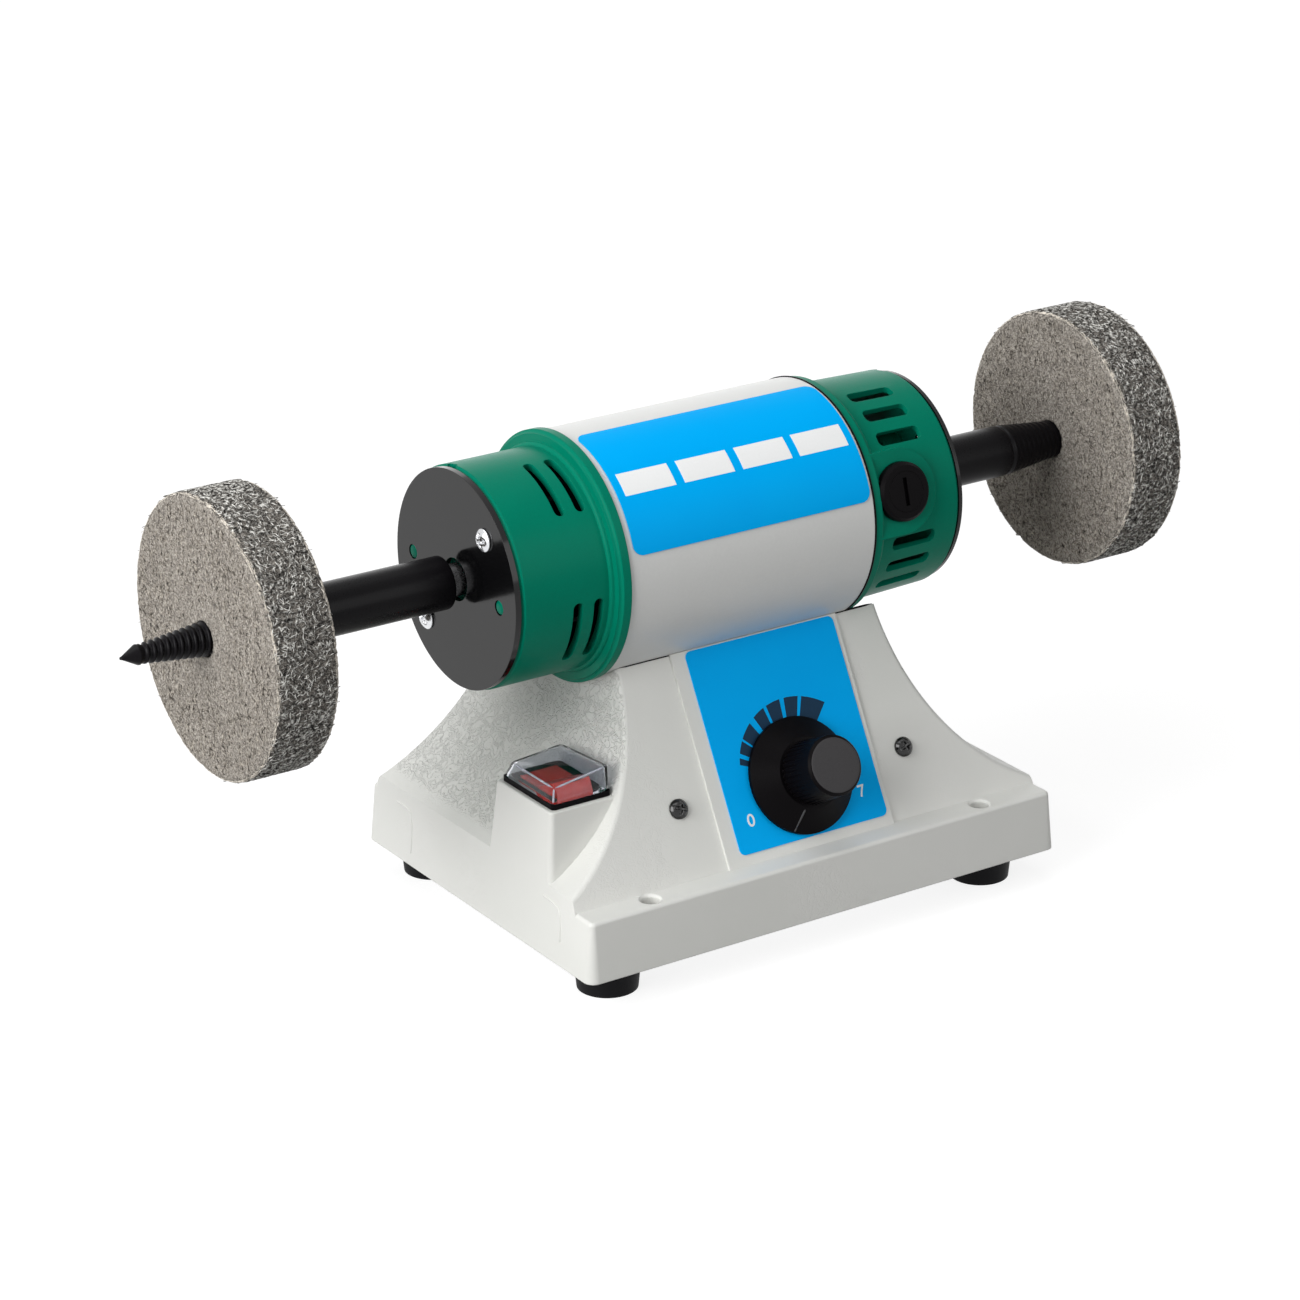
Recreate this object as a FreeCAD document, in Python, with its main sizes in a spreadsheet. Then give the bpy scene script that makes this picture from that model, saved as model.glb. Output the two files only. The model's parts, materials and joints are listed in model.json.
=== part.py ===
import FreeCAD
import Part
import Sketcher
import math
import os
from types import SimpleNamespace

# Plain angles in degrees, how close counts as touching in millimetres, and the sides of a pair.
QUARTER_TURN = 90
HALF_TURN = 180
FULL_TURN = 360
TOUCH = 1e-4
BOTH_SIDES = 2

# Driving sizes, in millimetres and degrees.
SIZES = {
    # Stand casting
    "base_length": 210.0,
    "base_depth": 156.0,
    "base_height": 23.0,
    "base_corner": 4.0,
    "base_draft": 5.0,
    "base_edge_round": 1.5,
    "wall": 5.0,
    "front_ledge": 12.5,
    "face_tilt": 28.5,
    "rear_inset": 5.0,
    "rear_tilt": 18.0,
    "rear_shoulder": 22.0,
    "column_shift": 2.0,
    "waist_width": 116.2,
    "arch_radius": 79.0,
    "arch_lead": 4.5,
    "column_edge_round": 2.0,
    "saddle_drop": 33.6,
    "saddle_gap": 0.1,
    "bolt_end_inset": 31.0,
    "bolt_inset": 8.0,
    "bolt_hole": 7.0,
    "bolt_chamfer": 0.8,
    # Feet and bottom cover
    "foot_height": 13.0,
    "foot_top": 25.0,
    "foot_bottom": 22.5,
    "foot_end_inset": 20.6,
    "foot_front_inset": 20.5,
    "foot_rear_inset": 14.0,
    "foot_recess": 8.0,
    "foot_boss": 12.0,
    "foot_screw": 5.0,
    "foot_screw_head": 9.0,
    "foot_screw_head_height": 3.5,
    "foot_screw_grip": 12.0,
    "cover_thickness": 1.5,
    "cover_gap": 0.3,
    "screw_gap": 0.1,
    # Switch pedestal and rocker switch
    "pedestal_setback": 32.0,
    "pedestal_depth": 37.0,
    "pedestal_height": 31.0,
    "pedestal_corner": 2.0,
    "pedestal_edge_round": 0.8,
    "pedestal_wall": 3.0,
    "switch_clear": 0.35,
    "pedestal_margin": 1.8,
    "bezel_width": 25.0,
    "bezel_length": 34.0,
    "bezel_thickness": 2.0,
    "bezel_corner": 1.5,
    "switch_body_width": 20.5,
    "switch_body_length": 29.0,
    "switch_body_height": 22.0,
    "switch_gap": 0.25,
    "terminal_width": 6.3,
    "terminal_thickness": 0.8,
    "terminal_length": 9.0,
    "terminal_pitch": 7.0,
    "rocker_width": 15.0,
    "rocker_radius": 12.4,
    "rocker_tip_rise": 6.0,
    "rocker_depth": 4.5,
    "rocker_half_throw": 11.0,
    "rocker_gap": 0.4,
    "rocker_pivot_drop": 3.5,
    "rocker_pin": 3.0,
    "rocker_pin_length": 1.4,
    "pin_gap": 0.05,
    "splash_cover_height": 6.5,
    "splash_cover_draft": 12.0,
    "splash_cover_wall": 0.8,
    "splash_cover_lip": 1.4,
    "splash_cover_inset": 1.6,
    # Speed panel
    "panel_width": 74.0,
    "panel_raise": 1.0,
    "panel_corner": 4.0,
    "label_offset": 2.0,
    "label_width": 66.0,
    "label_bottom": 3.4,
    "label_top_gap": 0.5,
    "label_corner": 2.5,
    "label_thickness": 0.4,
    "knob_up": 26.0,
    "knob_skirt": 43.8,
    "knob_skirt_rim": 1.6,
    "knob_cone_top": 26.5,
    "knob_cone_height": 8.0,
    "knob_grip": 24.0,
    "knob_grip_top": 22.6,
    "knob_height": 25.2,
    "knob_edge": 0.8,
    "knob_recess": 34.0,
    "knob_recess_depth": 4.5,
    "knob_flutes": 36,
    "knob_flute": 1.1,
    "knob_lift": 0.6,
    "speed_shaft": 6.0,
    "speed_shaft_grip": 13.0,
    "bushing": 9.2,
    "bushing_thread": 3.2,
    "regulator_body": 23.0,
    "regulator_depth": 9.0,
    "nut_sides": 6,
    "nut_width": 12.0,
    "nut_thickness": 2.4,
    "panel_screw_spacing": 101.0,
    "panel_screw": 4.0,
    "panel_screw_head": 7.5,
    "panel_screw_head_height": 2.8,
    "panel_screw_top": 3.8,
    # Control board behind the panel
    "bracket_width": 108.0,
    "bracket_height": 38.0,
    "bracket_thickness": 1.5,
    "bracket_cut": 26.0,
    "board_width": 100.0,
    "board_height": 36.0,
    "board_thickness": 1.6,
    "spacer": 6.0,
    "spacer_length": 13.0,
    "spacer_edge": 6.0,
    "capacitor": 16.0,
    "capacitor_height": 22.0,
    "choke": 18.0,
    "choke_hole": 7.0,
    "choke_height": 9.0,
    "heat_sink_width": 24.0,
    "heat_sink_height": 26.0,
    "heat_sink_depth": 16.0,
    "heat_sink_fin": 2.0,
    "heat_sink_fins": 4,
    "part_inset": 18.0,
    # Cord gland in the rear face
    "gland_offset": 45.0,
    "gland_up": 22.0,
    "gland_bore": 7.2,
    "gland_neck": 12.8,
    "gland_flange": 19.0,
    "gland_flange_thickness": 3.5,
    "gland_lip": 15.0,
    "gland_lip_thickness": 2.5,
    # Motor housing
    "axis_height": 143.6,
    "tube": 91.2,
    "tube_wall": 2.0,
    "tube_left": 65.4,
    "tube_right": 42.0,
    "motor_roll": 15.5,
    "motor_screw": 5.0,
    "motor_screw_head": 9.0,
    "motor_screw_head_height": 3.2,
    "motor_screw_inset": 24.0,
    "motor_screw_reach": 1.5,
    "motor_label_inset": 2.8,
    "motor_label_end_gap": 1.4,
    "motor_label_low": 15.2,
    "motor_label_arc": 68.1,
    "motor_label_corner": 4.0,
    "motor_label_thickness": 0.35,
    "motor_label_gap": 0.15,
    # End caps and plates
    "cap_wall": 3.0,
    "cap_end_wall": 3.5,
    "cap_edge_round": 1.5,
    "spigot_length": 5.0,
    "spigot_gap": 0.15,
    "left_cap": 82.0,
    "left_cap_length": 42.1,
    "left_bead": 93.2,
    "left_bead_width": 4.6,
    "rim_round": 1.4,
    "left_slot_roll": 20.0,
    "left_slot_spread": 41.0,
    "left_slot_length": 26.0,
    "left_slot_width": 4.0,
    "left_slot_round": 1.95,
    "left_slot_pitch": 8.6,
    "left_slot_from_end": 23.3,
    "right_cap": 84.0,
    "right_cap_length": 42.5,
    "right_cap_taper": 1.0,
    "right_rim": 90.6,
    "right_rim_width": 5.0,
    "right_slots": 3,
    "right_slot_start": 28.0,
    "right_slot_pitch": 14.6,
    "right_slot_length": 19.5,
    "right_slot_width": 5.4,
    "right_slot_round": 2.0,
    "right_slot_from_end": 11.5,
    "cap_notch_width": 6.0,
    "cap_notch_depth": 2.5,
    "cap_notch_angle": 100.0,
    "left_plate": 81.0,
    "left_plate_thickness": 2.3,
    "right_plate": 80.4,
    "right_plate_thickness": 1.5,
    "plate_shaft_hole": 16.0,
    "plate_circle": 58.6,
    "plate_screw_angle": 46.0,
    "plate_hole_angle": -3.0,
    "plate_hole": 5.5,
    "plate_screw": 4.0,
    "plate_screw_head": 8.5,
    "plate_screw_head_height": 2.6,
    "plate_screw_top": 4.2,
    "plate_screw_length": 6.0,
    # Brush gear
    "brush_from_tube": 14.5,
    "brush_pad_radius": 16.0,
    "brush_pad_rise": 0.6,
    "brush_seat": 0.3,
    "brush_tube": 16.4,
    "brush_collar": 22.0,
    "brush_collar_height": 3.6,
    "brush_collar_edge": 1.2,
    "brush_cap": 15.0,
    "brush_cap_depth": 5.6,
    "brush_cap_slot": 1.8,
    "brush_cap_slot_length": 10.5,
    "brush_cap_slot_depth": 1.4,
    "brush_channel": 7.0,
    "brush_side": 6.8,
    "brush_length": 13.5,
    "brush_gap": 0.3,
    "brush_tube_clear": 2.5,
    "brush_spring": 6.0,
    "brush_spring_wall": 0.7,
    "brush_play": 0.1,
    # Stator and rotor
    "stator_length": 50.0,
    "stator_offset": -12.0,
    "stator_bore": 49.6,
    "stator_gap": 0.1,
    "pole_width": 29.0,
    "coil_window_low": 20.0,
    "coil_window_high": 34.5,
    "coil_side": 9.0,
    "coil_depth": 9.0,
    "coil_gap": 0.3,
    "air_gap": 0.6,
    "armature_slots": 12,
    "armature_slot_width": 3.6,
    "armature_slot_depth": 9.5,
    "winding_overhang": 11.5,
    "winding_top": 2.0,
    "winding_play": 0.2,
    "commutator": 30.0,
    "commutator_length": 23.0,
    "commutator_riser": 34.0,
    "commutator_riser_width": 3.0,
    "commutator_bars": 24,
    "commutator_groove": 0.8,
    "commutator_groove_depth": 1.0,
    "fan": 72.0,
    "fan_hub": 24.0,
    "fan_disc": 2.0,
    "fan_width": 18.0,
    "fan_blades": 9,
    "fan_blade": 2.0,
    "fan_gap": 6.0,
    # Shaft, bearings and spindles
    "shaft": 12.0,
    "shaft_middle": 14.0,
    "left_shaft_grip": 48.0,
    "right_shaft_grip": 36.0,
    "fit_gap": 0.05,
    "bearing": 32.0,
    "bearing_width": 10.0,
    "bearing_ball": 6.0,
    "bearing_balls": 7,
    "bearing_inner": 18.0,
    "bearing_outer": 26.0,
    "bearing_play": 0.1,
    "bearing_floor": 2.5,
    "hub_wall": 4.0,
    "left_neck": 5.2,
    "left_sleeve": 63.0,
    "right_neck": 4.0,
    "right_sleeve": 45.0,
    "spindle": 19.6,
    "spindle_edge": 0.8,
    "taper_length": 58.0,
    "taper_end": 7.0,
    "tip_length": 7.0,
    "tip_end": 1.2,
    # Fibre wheels
    "wheel": 100.0,
    "wheel_width": 25.0,
    "wheel_round": 3.5,
    "left_wheel_seat": 7.0,
    "right_wheel_seat": 24.5,
    "wheel_bore_gap": 0.1,
}


class Measure:
    """A length or an angle: its value, and the formula of sheet cells that gives it."""

    def __init__(self, value, formula):
        self.value = value
        self.formula = formula

    def __add__(self, other):
        other = measure(other)
        return Measure(self.value + other.value, f"({self.formula} + {other.formula})")

    def __sub__(self, other):
        other = measure(other)
        return Measure(self.value - other.value, f"({self.formula} - {other.formula})")

    def __mul__(self, other):
        other = measure(other)
        return Measure(self.value * other.value, f"({self.formula} * {other.formula})")

    def __truediv__(self, other):
        other = measure(other)
        return Measure(self.value / other.value, f"({self.formula} / {other.formula})")

    def __radd__(self, other):
        return measure(other) + self

    def __rsub__(self, other):
        return measure(other) - self

    def __rmul__(self, other):
        return measure(other) * self

    def __rtruediv__(self, other):
        return measure(other) / self

    def __neg__(self):
        return measure(0) - self


def measure(item):
    """Let a plain number stand as a measure."""
    if isinstance(item, Measure):
        return item
    return Measure(float(item), repr(float(item)))


def sine(angle):
    return Measure(math.sin(math.radians(angle.value)), f"sin({angle.formula})")


def cosine(angle):
    return Measure(math.cos(math.radians(angle.value)), f"cos({angle.formula})")


def tangent(angle):
    return Measure(math.tan(math.radians(angle.value)), f"tan({angle.formula})")


def root(number):
    return Measure(math.sqrt(number.value), f"sqrt({number.formula})")


doc = FreeCAD.newDocument("BenchGrinder")
sheet = doc.addObject("Spreadsheet::Sheet", "Sizes")
for row, (word, number) in enumerate(SIZES.items(), start=1):
    sheet.set(f"A{row}", word)
    sheet.set(f"B{row}", str(number))
    sheet.setAlias(f"B{row}", word)
doc.recompute()
size = SimpleNamespace(**{word: Measure(number, f"Sizes.{word}") for word, number in SIZES.items()})
nodes = []


def bind(target, name, amount):
    """Tie one property to the sheet."""
    target.setExpression(name, measure(amount).formula)


def place(target, x=0, y=0, z=0, roll=0):
    """Stand a piece at a point, rolled about the X direction."""
    target.Placement = FreeCAD.Placement(FreeCAD.Vector(), FreeCAD.Rotation(FreeCAD.Vector(1, 0, 0), 0))
    bind(target, "Placement.Rotation.Angle", roll)
    bind(target, "Placement.Base.x", x)
    bind(target, "Placement.Base.y", y)
    bind(target, "Placement.Base.z", z)


def new_body(label, x=0, y=0, z=0, roll=0):
    body = doc.addObject("PartDesign::Body", label)
    body.Label = label
    place(body, x, y, z, roll)
    return body


def keep(piece):
    """Count a finished piece as a node of the assembly."""
    nodes.append(piece)
    return piece


def group(label, pieces):
    """Hold like pieces together in one node, each still its own solid."""
    compound = doc.addObject("Part::Compound", label)
    compound.Label = label
    compound.Links = pieces
    return keep(compound)


def origin_feature(body, role):
    return [feature for feature in body.Origin.OriginFeatures if feature.Role == role][0]


def arc_between(start, end, radius):
    """Round stretch between two points: a positive radius turns left, a negative one right."""
    chord = end - start
    middle = (start + end) * 0.5
    left = FreeCAD.Vector(-chord.y, chord.x, 0).normalize()
    rise = math.sqrt(radius * radius - chord.Length * chord.Length / 4)
    centre = middle + left * math.copysign(rise, radius)
    first, last = (start, end) if radius > 0 else (end, start)
    angle_first = math.atan2(first.y - centre.y, first.x - centre.x)
    angle_last = math.atan2(last.y - centre.y, last.x - centre.x)
    if angle_last < angle_first:
        angle_last += 2 * math.pi
    circle = Part.Circle(centre, FreeCAD.Vector(0, 0, 1), abs(radius))
    return Part.ArcOfCircle(circle, angle_first, angle_last)


def draw_circle(sketch, x, y, radius):
    """Draw a circle, held by its centre and radius."""
    centre = FreeCAD.Vector(measure(x).value, measure(y).value, 0)
    circle = sketch.addGeometry(Part.Circle(centre, FreeCAD.Vector(0, 0, 1), radius.value))
    for kind, amount in (("DistanceX", x), ("DistanceY", y)):
        number = sketch.addConstraint(Sketcher.Constraint(kind, circle, 3, measure(amount).value))
        bind(sketch, f"Constraints[{number}]", amount)
    number = sketch.addConstraint(Sketcher.Constraint("Radius", circle, radius.value))
    bind(sketch, f"Constraints[{number}]", radius)


def draw_loop(sketch, corners):
    """Draw a closed loop. A corner is (x, y), or (x, y, radius) where a round stretch leads to it."""
    points = [FreeCAD.Vector(measure(c[0]).value, measure(c[1]).value, 0) for c in corners]
    stretches = []
    for index, corner in enumerate(corners):
        start = points[index - 1]
        end = points[index]
        if len(corner) == 2:
            number = sketch.addGeometry(Part.LineSegment(start, end))
            stretches.append((number, 1, 2))
            continue
        radius = corner[2]
        number = sketch.addGeometry(arc_between(start, end, radius.value))
        stretches.append((number, 1, 2) if radius.value > 0 else (number, 2, 1))
        held = sketch.addConstraint(Sketcher.Constraint("Radius", number, abs(radius.value)))
        bind(sketch, f"Constraints[{held}]", radius if radius.value > 0 else -radius)
    for index, corner in enumerate(corners):
        number, unused_start, end = stretches[index]
        following, start, unused_end = stretches[(index + 1) % len(corners)]
        sketch.addConstraint(Sketcher.Constraint("Coincident", number, end, following, start))
        for kind, amount in (("DistanceX", corner[0]), ("DistanceY", corner[1])):
            held = sketch.addConstraint(Sketcher.Constraint(kind, number, end, measure(amount).value))
            bind(sketch, f"Constraints[{held}]", amount)


def disc(x, y, diameter):
    return ("disc", x, y, diameter / 2)


def rounded_box(left, low, right, high, radius):
    """Rectangle with rounded corners, as a loop."""
    return [
        (right - radius, low),
        (right, low + radius, radius),
        (right, high - radius),
        (right - radius, high, radius),
        (left + radius, high),
        (left, high - radius, radius),
        (left, low + radius),
        (left + radius, low, radius),
    ]


def box(left, low, right, high):
    return [(left, low), (right, low), (right, high), (left, high)]


def new_sketch(body, loops, plane="XY_Plane", shift=(0, 0, 0), tilt=0):
    """Outline on a plane of the body, moved by shift and tilted about the plane's own X direction."""
    sketch = body.newObject("Sketcher::SketchObject", "Outline")
    sketch.AttachmentSupport = [(origin_feature(body, plane), "")]
    sketch.MapMode = "FlatFace"
    sketch.AttachmentOffset = FreeCAD.Placement(
        FreeCAD.Vector(), FreeCAD.Rotation(FreeCAD.Vector(1, 0, 0), 0))
    bind(sketch, "AttachmentOffset.Rotation.Angle", tilt)
    for letter, amount in zip("xyz", shift):
        bind(sketch, f"AttachmentOffset.Base.{letter}", amount)
    for loop in loops:
        if loop[0] == "disc":
            draw_circle(sketch, *loop[1:])
        else:
            draw_loop(sketch, loop)
    return sketch


def extrude(body, kind, loops, low, high, plane="XY_Plane", shift=(0, 0, 0), tilt=0, draft=0):
    """Add or cut a straight form between two distances along the outline's own normal."""
    tilt = measure(tilt)
    low = measure(low)
    start = (shift[0], shift[1] - low * sine(tilt), shift[2] + low * cosine(tilt))
    feature = body.newObject(f"PartDesign::{kind}", kind)
    feature.Profile = new_sketch(body, loops, plane, start, tilt)
    bind(feature, "Length", high - low)
    bind(feature, "TaperAngle", draft)
    feature.Reversed = kind == "Pocket"
    doc.recompute()
    return feature


def add(body, loops, low, high, **where):
    return extrude(body, "Pad", loops, low, high, **where)


def cut(body, loops, low, high, **where):
    """Cut a straight form, and make sure that it takes material away."""
    before = body.Shape.Volume
    feature = extrude(body, "Pocket", loops, low, high, **where)
    if not body.Shape.Volume < before:
        raise ValueError(f"{body.Label}: a cut takes nothing away")
    return feature


def turn(body, corners, upright=False, angle=FULL_TURN):
    """Turn a profile about X, from corners (x, radius), or about Z, from corners (radius, z)."""
    sketch = new_sketch(body, [corners], "XZ_Plane" if upright else "XY_Plane")
    feature = body.newObject("PartDesign::Revolution", "Revolution")
    feature.Profile = sketch
    feature.ReferenceAxis = (sketch, ["V_Axis" if upright else "H_Axis"])
    bind(feature, "Angle", angle)
    doc.recompute()
    return feature


def repeat_round(body, features, count, axis="X_Axis"):
    """Repeat features evenly round an axis of the body."""
    pattern = body.newObject("PartDesign::PolarPattern", "Round")
    pattern.Originals = features
    pattern.Axis = (origin_feature(body, axis), [""])
    pattern.Angle = FULL_TURN
    bind(pattern, "Occurrences", count)
    body.Tip = pattern
    doc.recompute()
    return pattern


def dress_edges(body, kind, amount, chosen):
    """Round or chamfer the edges of the body's present shape that the test picks."""
    tip = body.Tip
    names = [f"Edge{n}" for n, edge in enumerate(tip.Shape.Edges, start=1) if chosen(edge)]
    if not names:
        raise ValueError(f"{body.Label}: no edge to dress")
    feature = body.newObject(f"PartDesign::{kind}", kind)
    feature.Base = (tip, names)
    bind(feature, "Radius" if kind == "Fillet" else "Size", amount)
    doc.recompute()
    return feature


def round_edges(body, radius, chosen):
    return dress_edges(body, "Fillet", radius, chosen)


def at_height(edge, height):
    """True where a whole edge lies at one height."""
    return all(abs(vertex.Z - height.value) < TOUCH for vertex in edge.Vertexes)


def turned(label, corners, x=0, y=0, z=0, roll=0, upright=False):
    """Piece that is one turned profile."""
    body = new_body(label, x, y, z, roll)
    turn(body, corners, upright)
    return body


# Main places. Distances along X run from the middle of the control panel; the whole part is shifted so that
# its origin lies on the floor, midway between the two spindle tips.
left_end = -(size.tube_left + size.left_cap_length)
right_end = size.tube_right + size.right_cap_length
left_plate_face = left_end - size.left_plate_thickness
right_plate_face = right_end + size.right_plate_thickness
left_sleeve_start = left_plate_face - size.left_neck
left_taper_start = left_sleeve_start - size.left_sleeve
left_tip = left_taper_start - size.taper_length - size.tip_length
right_sleeve_start = right_plate_face + size.right_neck
right_taper_start = right_sleeve_start + size.right_sleeve
right_tip = right_taper_start + size.taper_length + size.tip_length
middle = -(left_tip + right_tip) / 2

slab_top = size.foot_height + size.base_height
slab_roof = slab_top - size.wall
column_top = size.axis_height - size.saddle_drop
column_rise = column_top - slab_top
arch_level = slab_top + size.arch_radius - size.arch_lead
tube_radius = size.tube / 2
tube_bore = tube_radius - size.tube_wall
hollow_top = size.axis_height - tube_radius - size.wall
face_line = -(size.base_depth / 2 - size.front_ledge)
rear_line = size.base_depth / 2 - size.rear_inset
face_turn = QUARTER_TURN - size.face_tilt
rear_turn = size.rear_tilt - QUARTER_TURN
axis_rise = size.axis_height - slab_top
axis_up = axis_rise * cosine(size.face_tilt) - face_line * sine(size.face_tilt)
axis_behind = axis_rise * sine(size.face_tilt) + face_line * cosine(size.face_tilt)
face_length = axis_up - root(tube_radius * tube_radius - axis_behind * axis_behind)
cover_front = face_line + size.wall / 2
cover_rear = size.base_depth / 2 - size.wall
foot_front = -(size.base_depth / 2 - size.foot_front_inset)
foot_rear = size.base_depth / 2 - size.foot_rear_inset


def cheek(height, inward):
    """Half width of the column at a height, at a distance inside its hollow cheeks."""
    reach = size.arch_radius + inward
    drop = arch_level - height
    return size.waist_width / 2 + size.arch_radius - root(reach * reach - drop * drop)


def column(body, inward, bottom, top, front, rear, shoulder):
    """Waisted column: hollow cheeks, sloped before and behind, round at the rear shoulder."""
    foot_half = cheek(slab_top, inward)
    top_half = cheek(top, inward)
    radius = size.arch_radius + inward
    outline = [
        (foot_half - size.column_shift, bottom),
        (foot_half - size.column_shift, slab_top),
        (top_half - size.column_shift, top, -radius),
        (-top_half - size.column_shift, top),
        (-foot_half - size.column_shift, slab_top, -radius),
        (-foot_half - size.column_shift, bottom),
    ]
    add(body, [outline], -rear, -front, plane="XZ_Plane")
    rise = top - slab_top
    far = foot_half + size.column_shift
    front_waste = [(front, slab_top), (front + rise * tangent(size.face_tilt), top), (front, top)]
    cut(body, [front_waste], -far, far, plane="YZ_Plane")
    corner = rear - rise * tangent(size.rear_tilt)
    reach = shoulder * tangent((QUARTER_TURN - size.rear_tilt) / 2)
    rear_waste = [
        (rear, slab_top),
        (rear, top),
        (corner - reach, top),
        (corner + reach * sine(size.rear_tilt), top - reach * cosine(size.rear_tilt), -shoulder),
    ]
    cut(body, [rear_waste], -far, far, plane="YZ_Plane")


# Stand casting: outer form
on_face = {"shift": (0, face_line, slab_top), "tilt": face_turn}
on_rear = {"shift": (0, rear_line, slab_top), "tilt": rear_turn}
pedestal_front = -(size.base_depth / 2 - size.pedestal_setback)
pedestal_back = pedestal_front + size.pedestal_depth
pedestal_top = slab_top + size.pedestal_height
switch_x = -(size.column_shift + cheek(pedestal_top, 0) + size.switch_clear + size.bezel_width / 2)
pedestal_left = switch_x - size.bezel_width / 2 - size.pedestal_margin
end_lean = tangent(size.base_draft)
slab_left = pedestal_left - (pedestal_top - size.foot_height) * end_lean
slab_right = slab_left + size.base_length
feet = {
    "front_left": (slab_left + size.foot_end_inset, foot_front),
    "front_right": (slab_right - size.foot_end_inset, foot_front),
    "rear_left": (slab_left + size.foot_end_inset, foot_rear),
    "rear_right": (slab_right - size.foot_end_inset, foot_rear),
}
switch_y = pedestal_front + size.pedestal_depth / 2
bezel_top = pedestal_top + size.bezel_thickness
motor_screw_places = [-(size.tube_left - size.motor_screw_inset), size.tube_right - size.motor_screw_inset]

form = new_body("casting_form", middle)
slab = rounded_box(slab_left, -size.base_depth / 2, slab_right, size.base_depth / 2, size.base_corner)
add(form, [slab], size.foot_height, slab_top, draft=-size.base_draft)
round_edges(form, size.base_edge_round, lambda edge: at_height(edge, slab_top))
column_bottom = slab_top - 2 * size.base_edge_round
column(form, 0, column_bottom, column_top, face_line, rear_line, size.rear_shoulder)


def column_side_edge(edge):
    """True for the long edges between a hollow cheek and the sloped front or rear face."""
    low = min(vertex.Z for vertex in edge.Vertexes)
    high = max(vertex.Z for vertex in edge.Vertexes)
    sides = [math.copysign(1, vertex.X) for vertex in edge.Vertexes]
    long_enough = high - low > column_rise.value / 2
    return long_enough and low > slab_top.value - TOUCH and abs(sum(sides)) == len(sides)


round_edges(form, size.column_edge_round, column_side_edge)
pedestal_spread = (pedestal_top - slab_roof) * end_lean
pedestal = box(slab_left, pedestal_front - pedestal_spread, -size.waist_width / 2,
               pedestal_back + pedestal_spread)
add(form, [pedestal], slab_roof, pedestal_top, draft=-size.base_draft)

# Stand casting: both ends are trimmed to one leaning plane, shared by the slab, the cheek and the pedestal
trim_top = pedestal_top + size.wall
trim_lean = (trim_top - size.foot_height) * end_lean
end_trims = [[(end, size.foot_height), (end - side * trim_lean, trim_top),
              (end + side * column_rise, trim_top), (end + side * column_rise, size.foot_height)]
             for side, end in ((-1, slab_left), (1, slab_right))]
cut(form, end_trims, -(rear_line + size.base_edge_round / 2), -(face_line - size.base_edge_round / 2),
    plane="XZ_Plane")


def pedestal_corner(edge):
    """True for the two upright outer edges of the pedestal."""
    upright = edge.BoundBox.ZLength > size.pedestal_height.value / 2
    gaps = [abs(vertex.X - slab_left.value - (vertex.Z - size.foot_height.value) * end_lean.value)
            for vertex in edge.Vertexes]
    above = edge.BoundBox.ZMin > slab_roof.value
    return upright and above and max(gaps) < TOUCH


round_edges(form, size.pedestal_corner, pedestal_corner)


def pedestal_rim(edge):
    """True for the free edges round the pedestal's top."""
    at_left = edge.BoundBox.XMin < (pedestal_left + 2 * size.pedestal_corner).value
    return at_left and at_height(edge, pedestal_top)


round_edges(form, size.pedestal_edge_round, pedestal_rim)
pad = rounded_box(-size.panel_width / 2, -2 * size.panel_corner, size.panel_width / 2,
                  face_length + 2 * size.panel_corner, size.panel_corner)
add(form, [pad], -size.wall / 2, size.panel_raise, **on_face)
saddle = disc(0, size.axis_height, size.tube + 2 * size.saddle_gap)
cut(form, [saddle], slab_left, slab_right, plane="YZ_Plane")

# Stand casting: holes
bolt_y = -(size.base_depth / 2 - size.bolt_inset)
bolt_places = [slab_left + size.bolt_end_inset, slab_right - size.bolt_end_inset]
bolt_holes = [disc(x, bolt_y, size.bolt_hole) for x in bolt_places]
cut(form, bolt_holes, size.foot_height, slab_top)


def bolt_hole_rim(edge):
    """True for the upper rim of a bolt hole."""
    closed = len(edge.Vertexes) == 1 and edge.Length > size.bolt_hole.value
    return closed and at_height(edge, slab_top)


dress_edges(form, "Chamfer", size.bolt_chamfer, bolt_hole_rim)
panel_hole = disc(size.label_offset, size.knob_up, size.bushing + 2 * size.screw_gap)
panel_screw_hole = size.panel_screw + 2 * size.screw_gap
panel_screw_holes = [disc(side * size.panel_screw_spacing / 2, size.knob_up, panel_screw_hole)
                     for side in (-1, 1)]
cut(form, [panel_hole] + panel_screw_holes, -2 * size.wall, size.panel_raise, **on_face)
gland_hole = disc(size.gland_offset, -size.gland_up, size.gland_neck + 2 * size.screw_gap)
cut(form, [gland_hole], -2 * size.wall, size.wall, **on_rear)
switch_hole = box(switch_x - size.switch_body_width / 2 - size.switch_gap,
                  switch_y - size.switch_body_length / 2 - size.switch_gap,
                  switch_x + size.switch_body_width / 2 + size.switch_gap,
                  switch_y + size.switch_body_length / 2 + size.switch_gap)
cut(form, [switch_hole], pedestal_top - 2 * size.pedestal_wall, pedestal_top)
motor_screw_holes = [disc(x, 0, size.motor_screw + 2 * size.screw_gap) for x in motor_screw_places]
cut(form, motor_screw_holes, hollow_top - size.wall, column_top)

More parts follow.
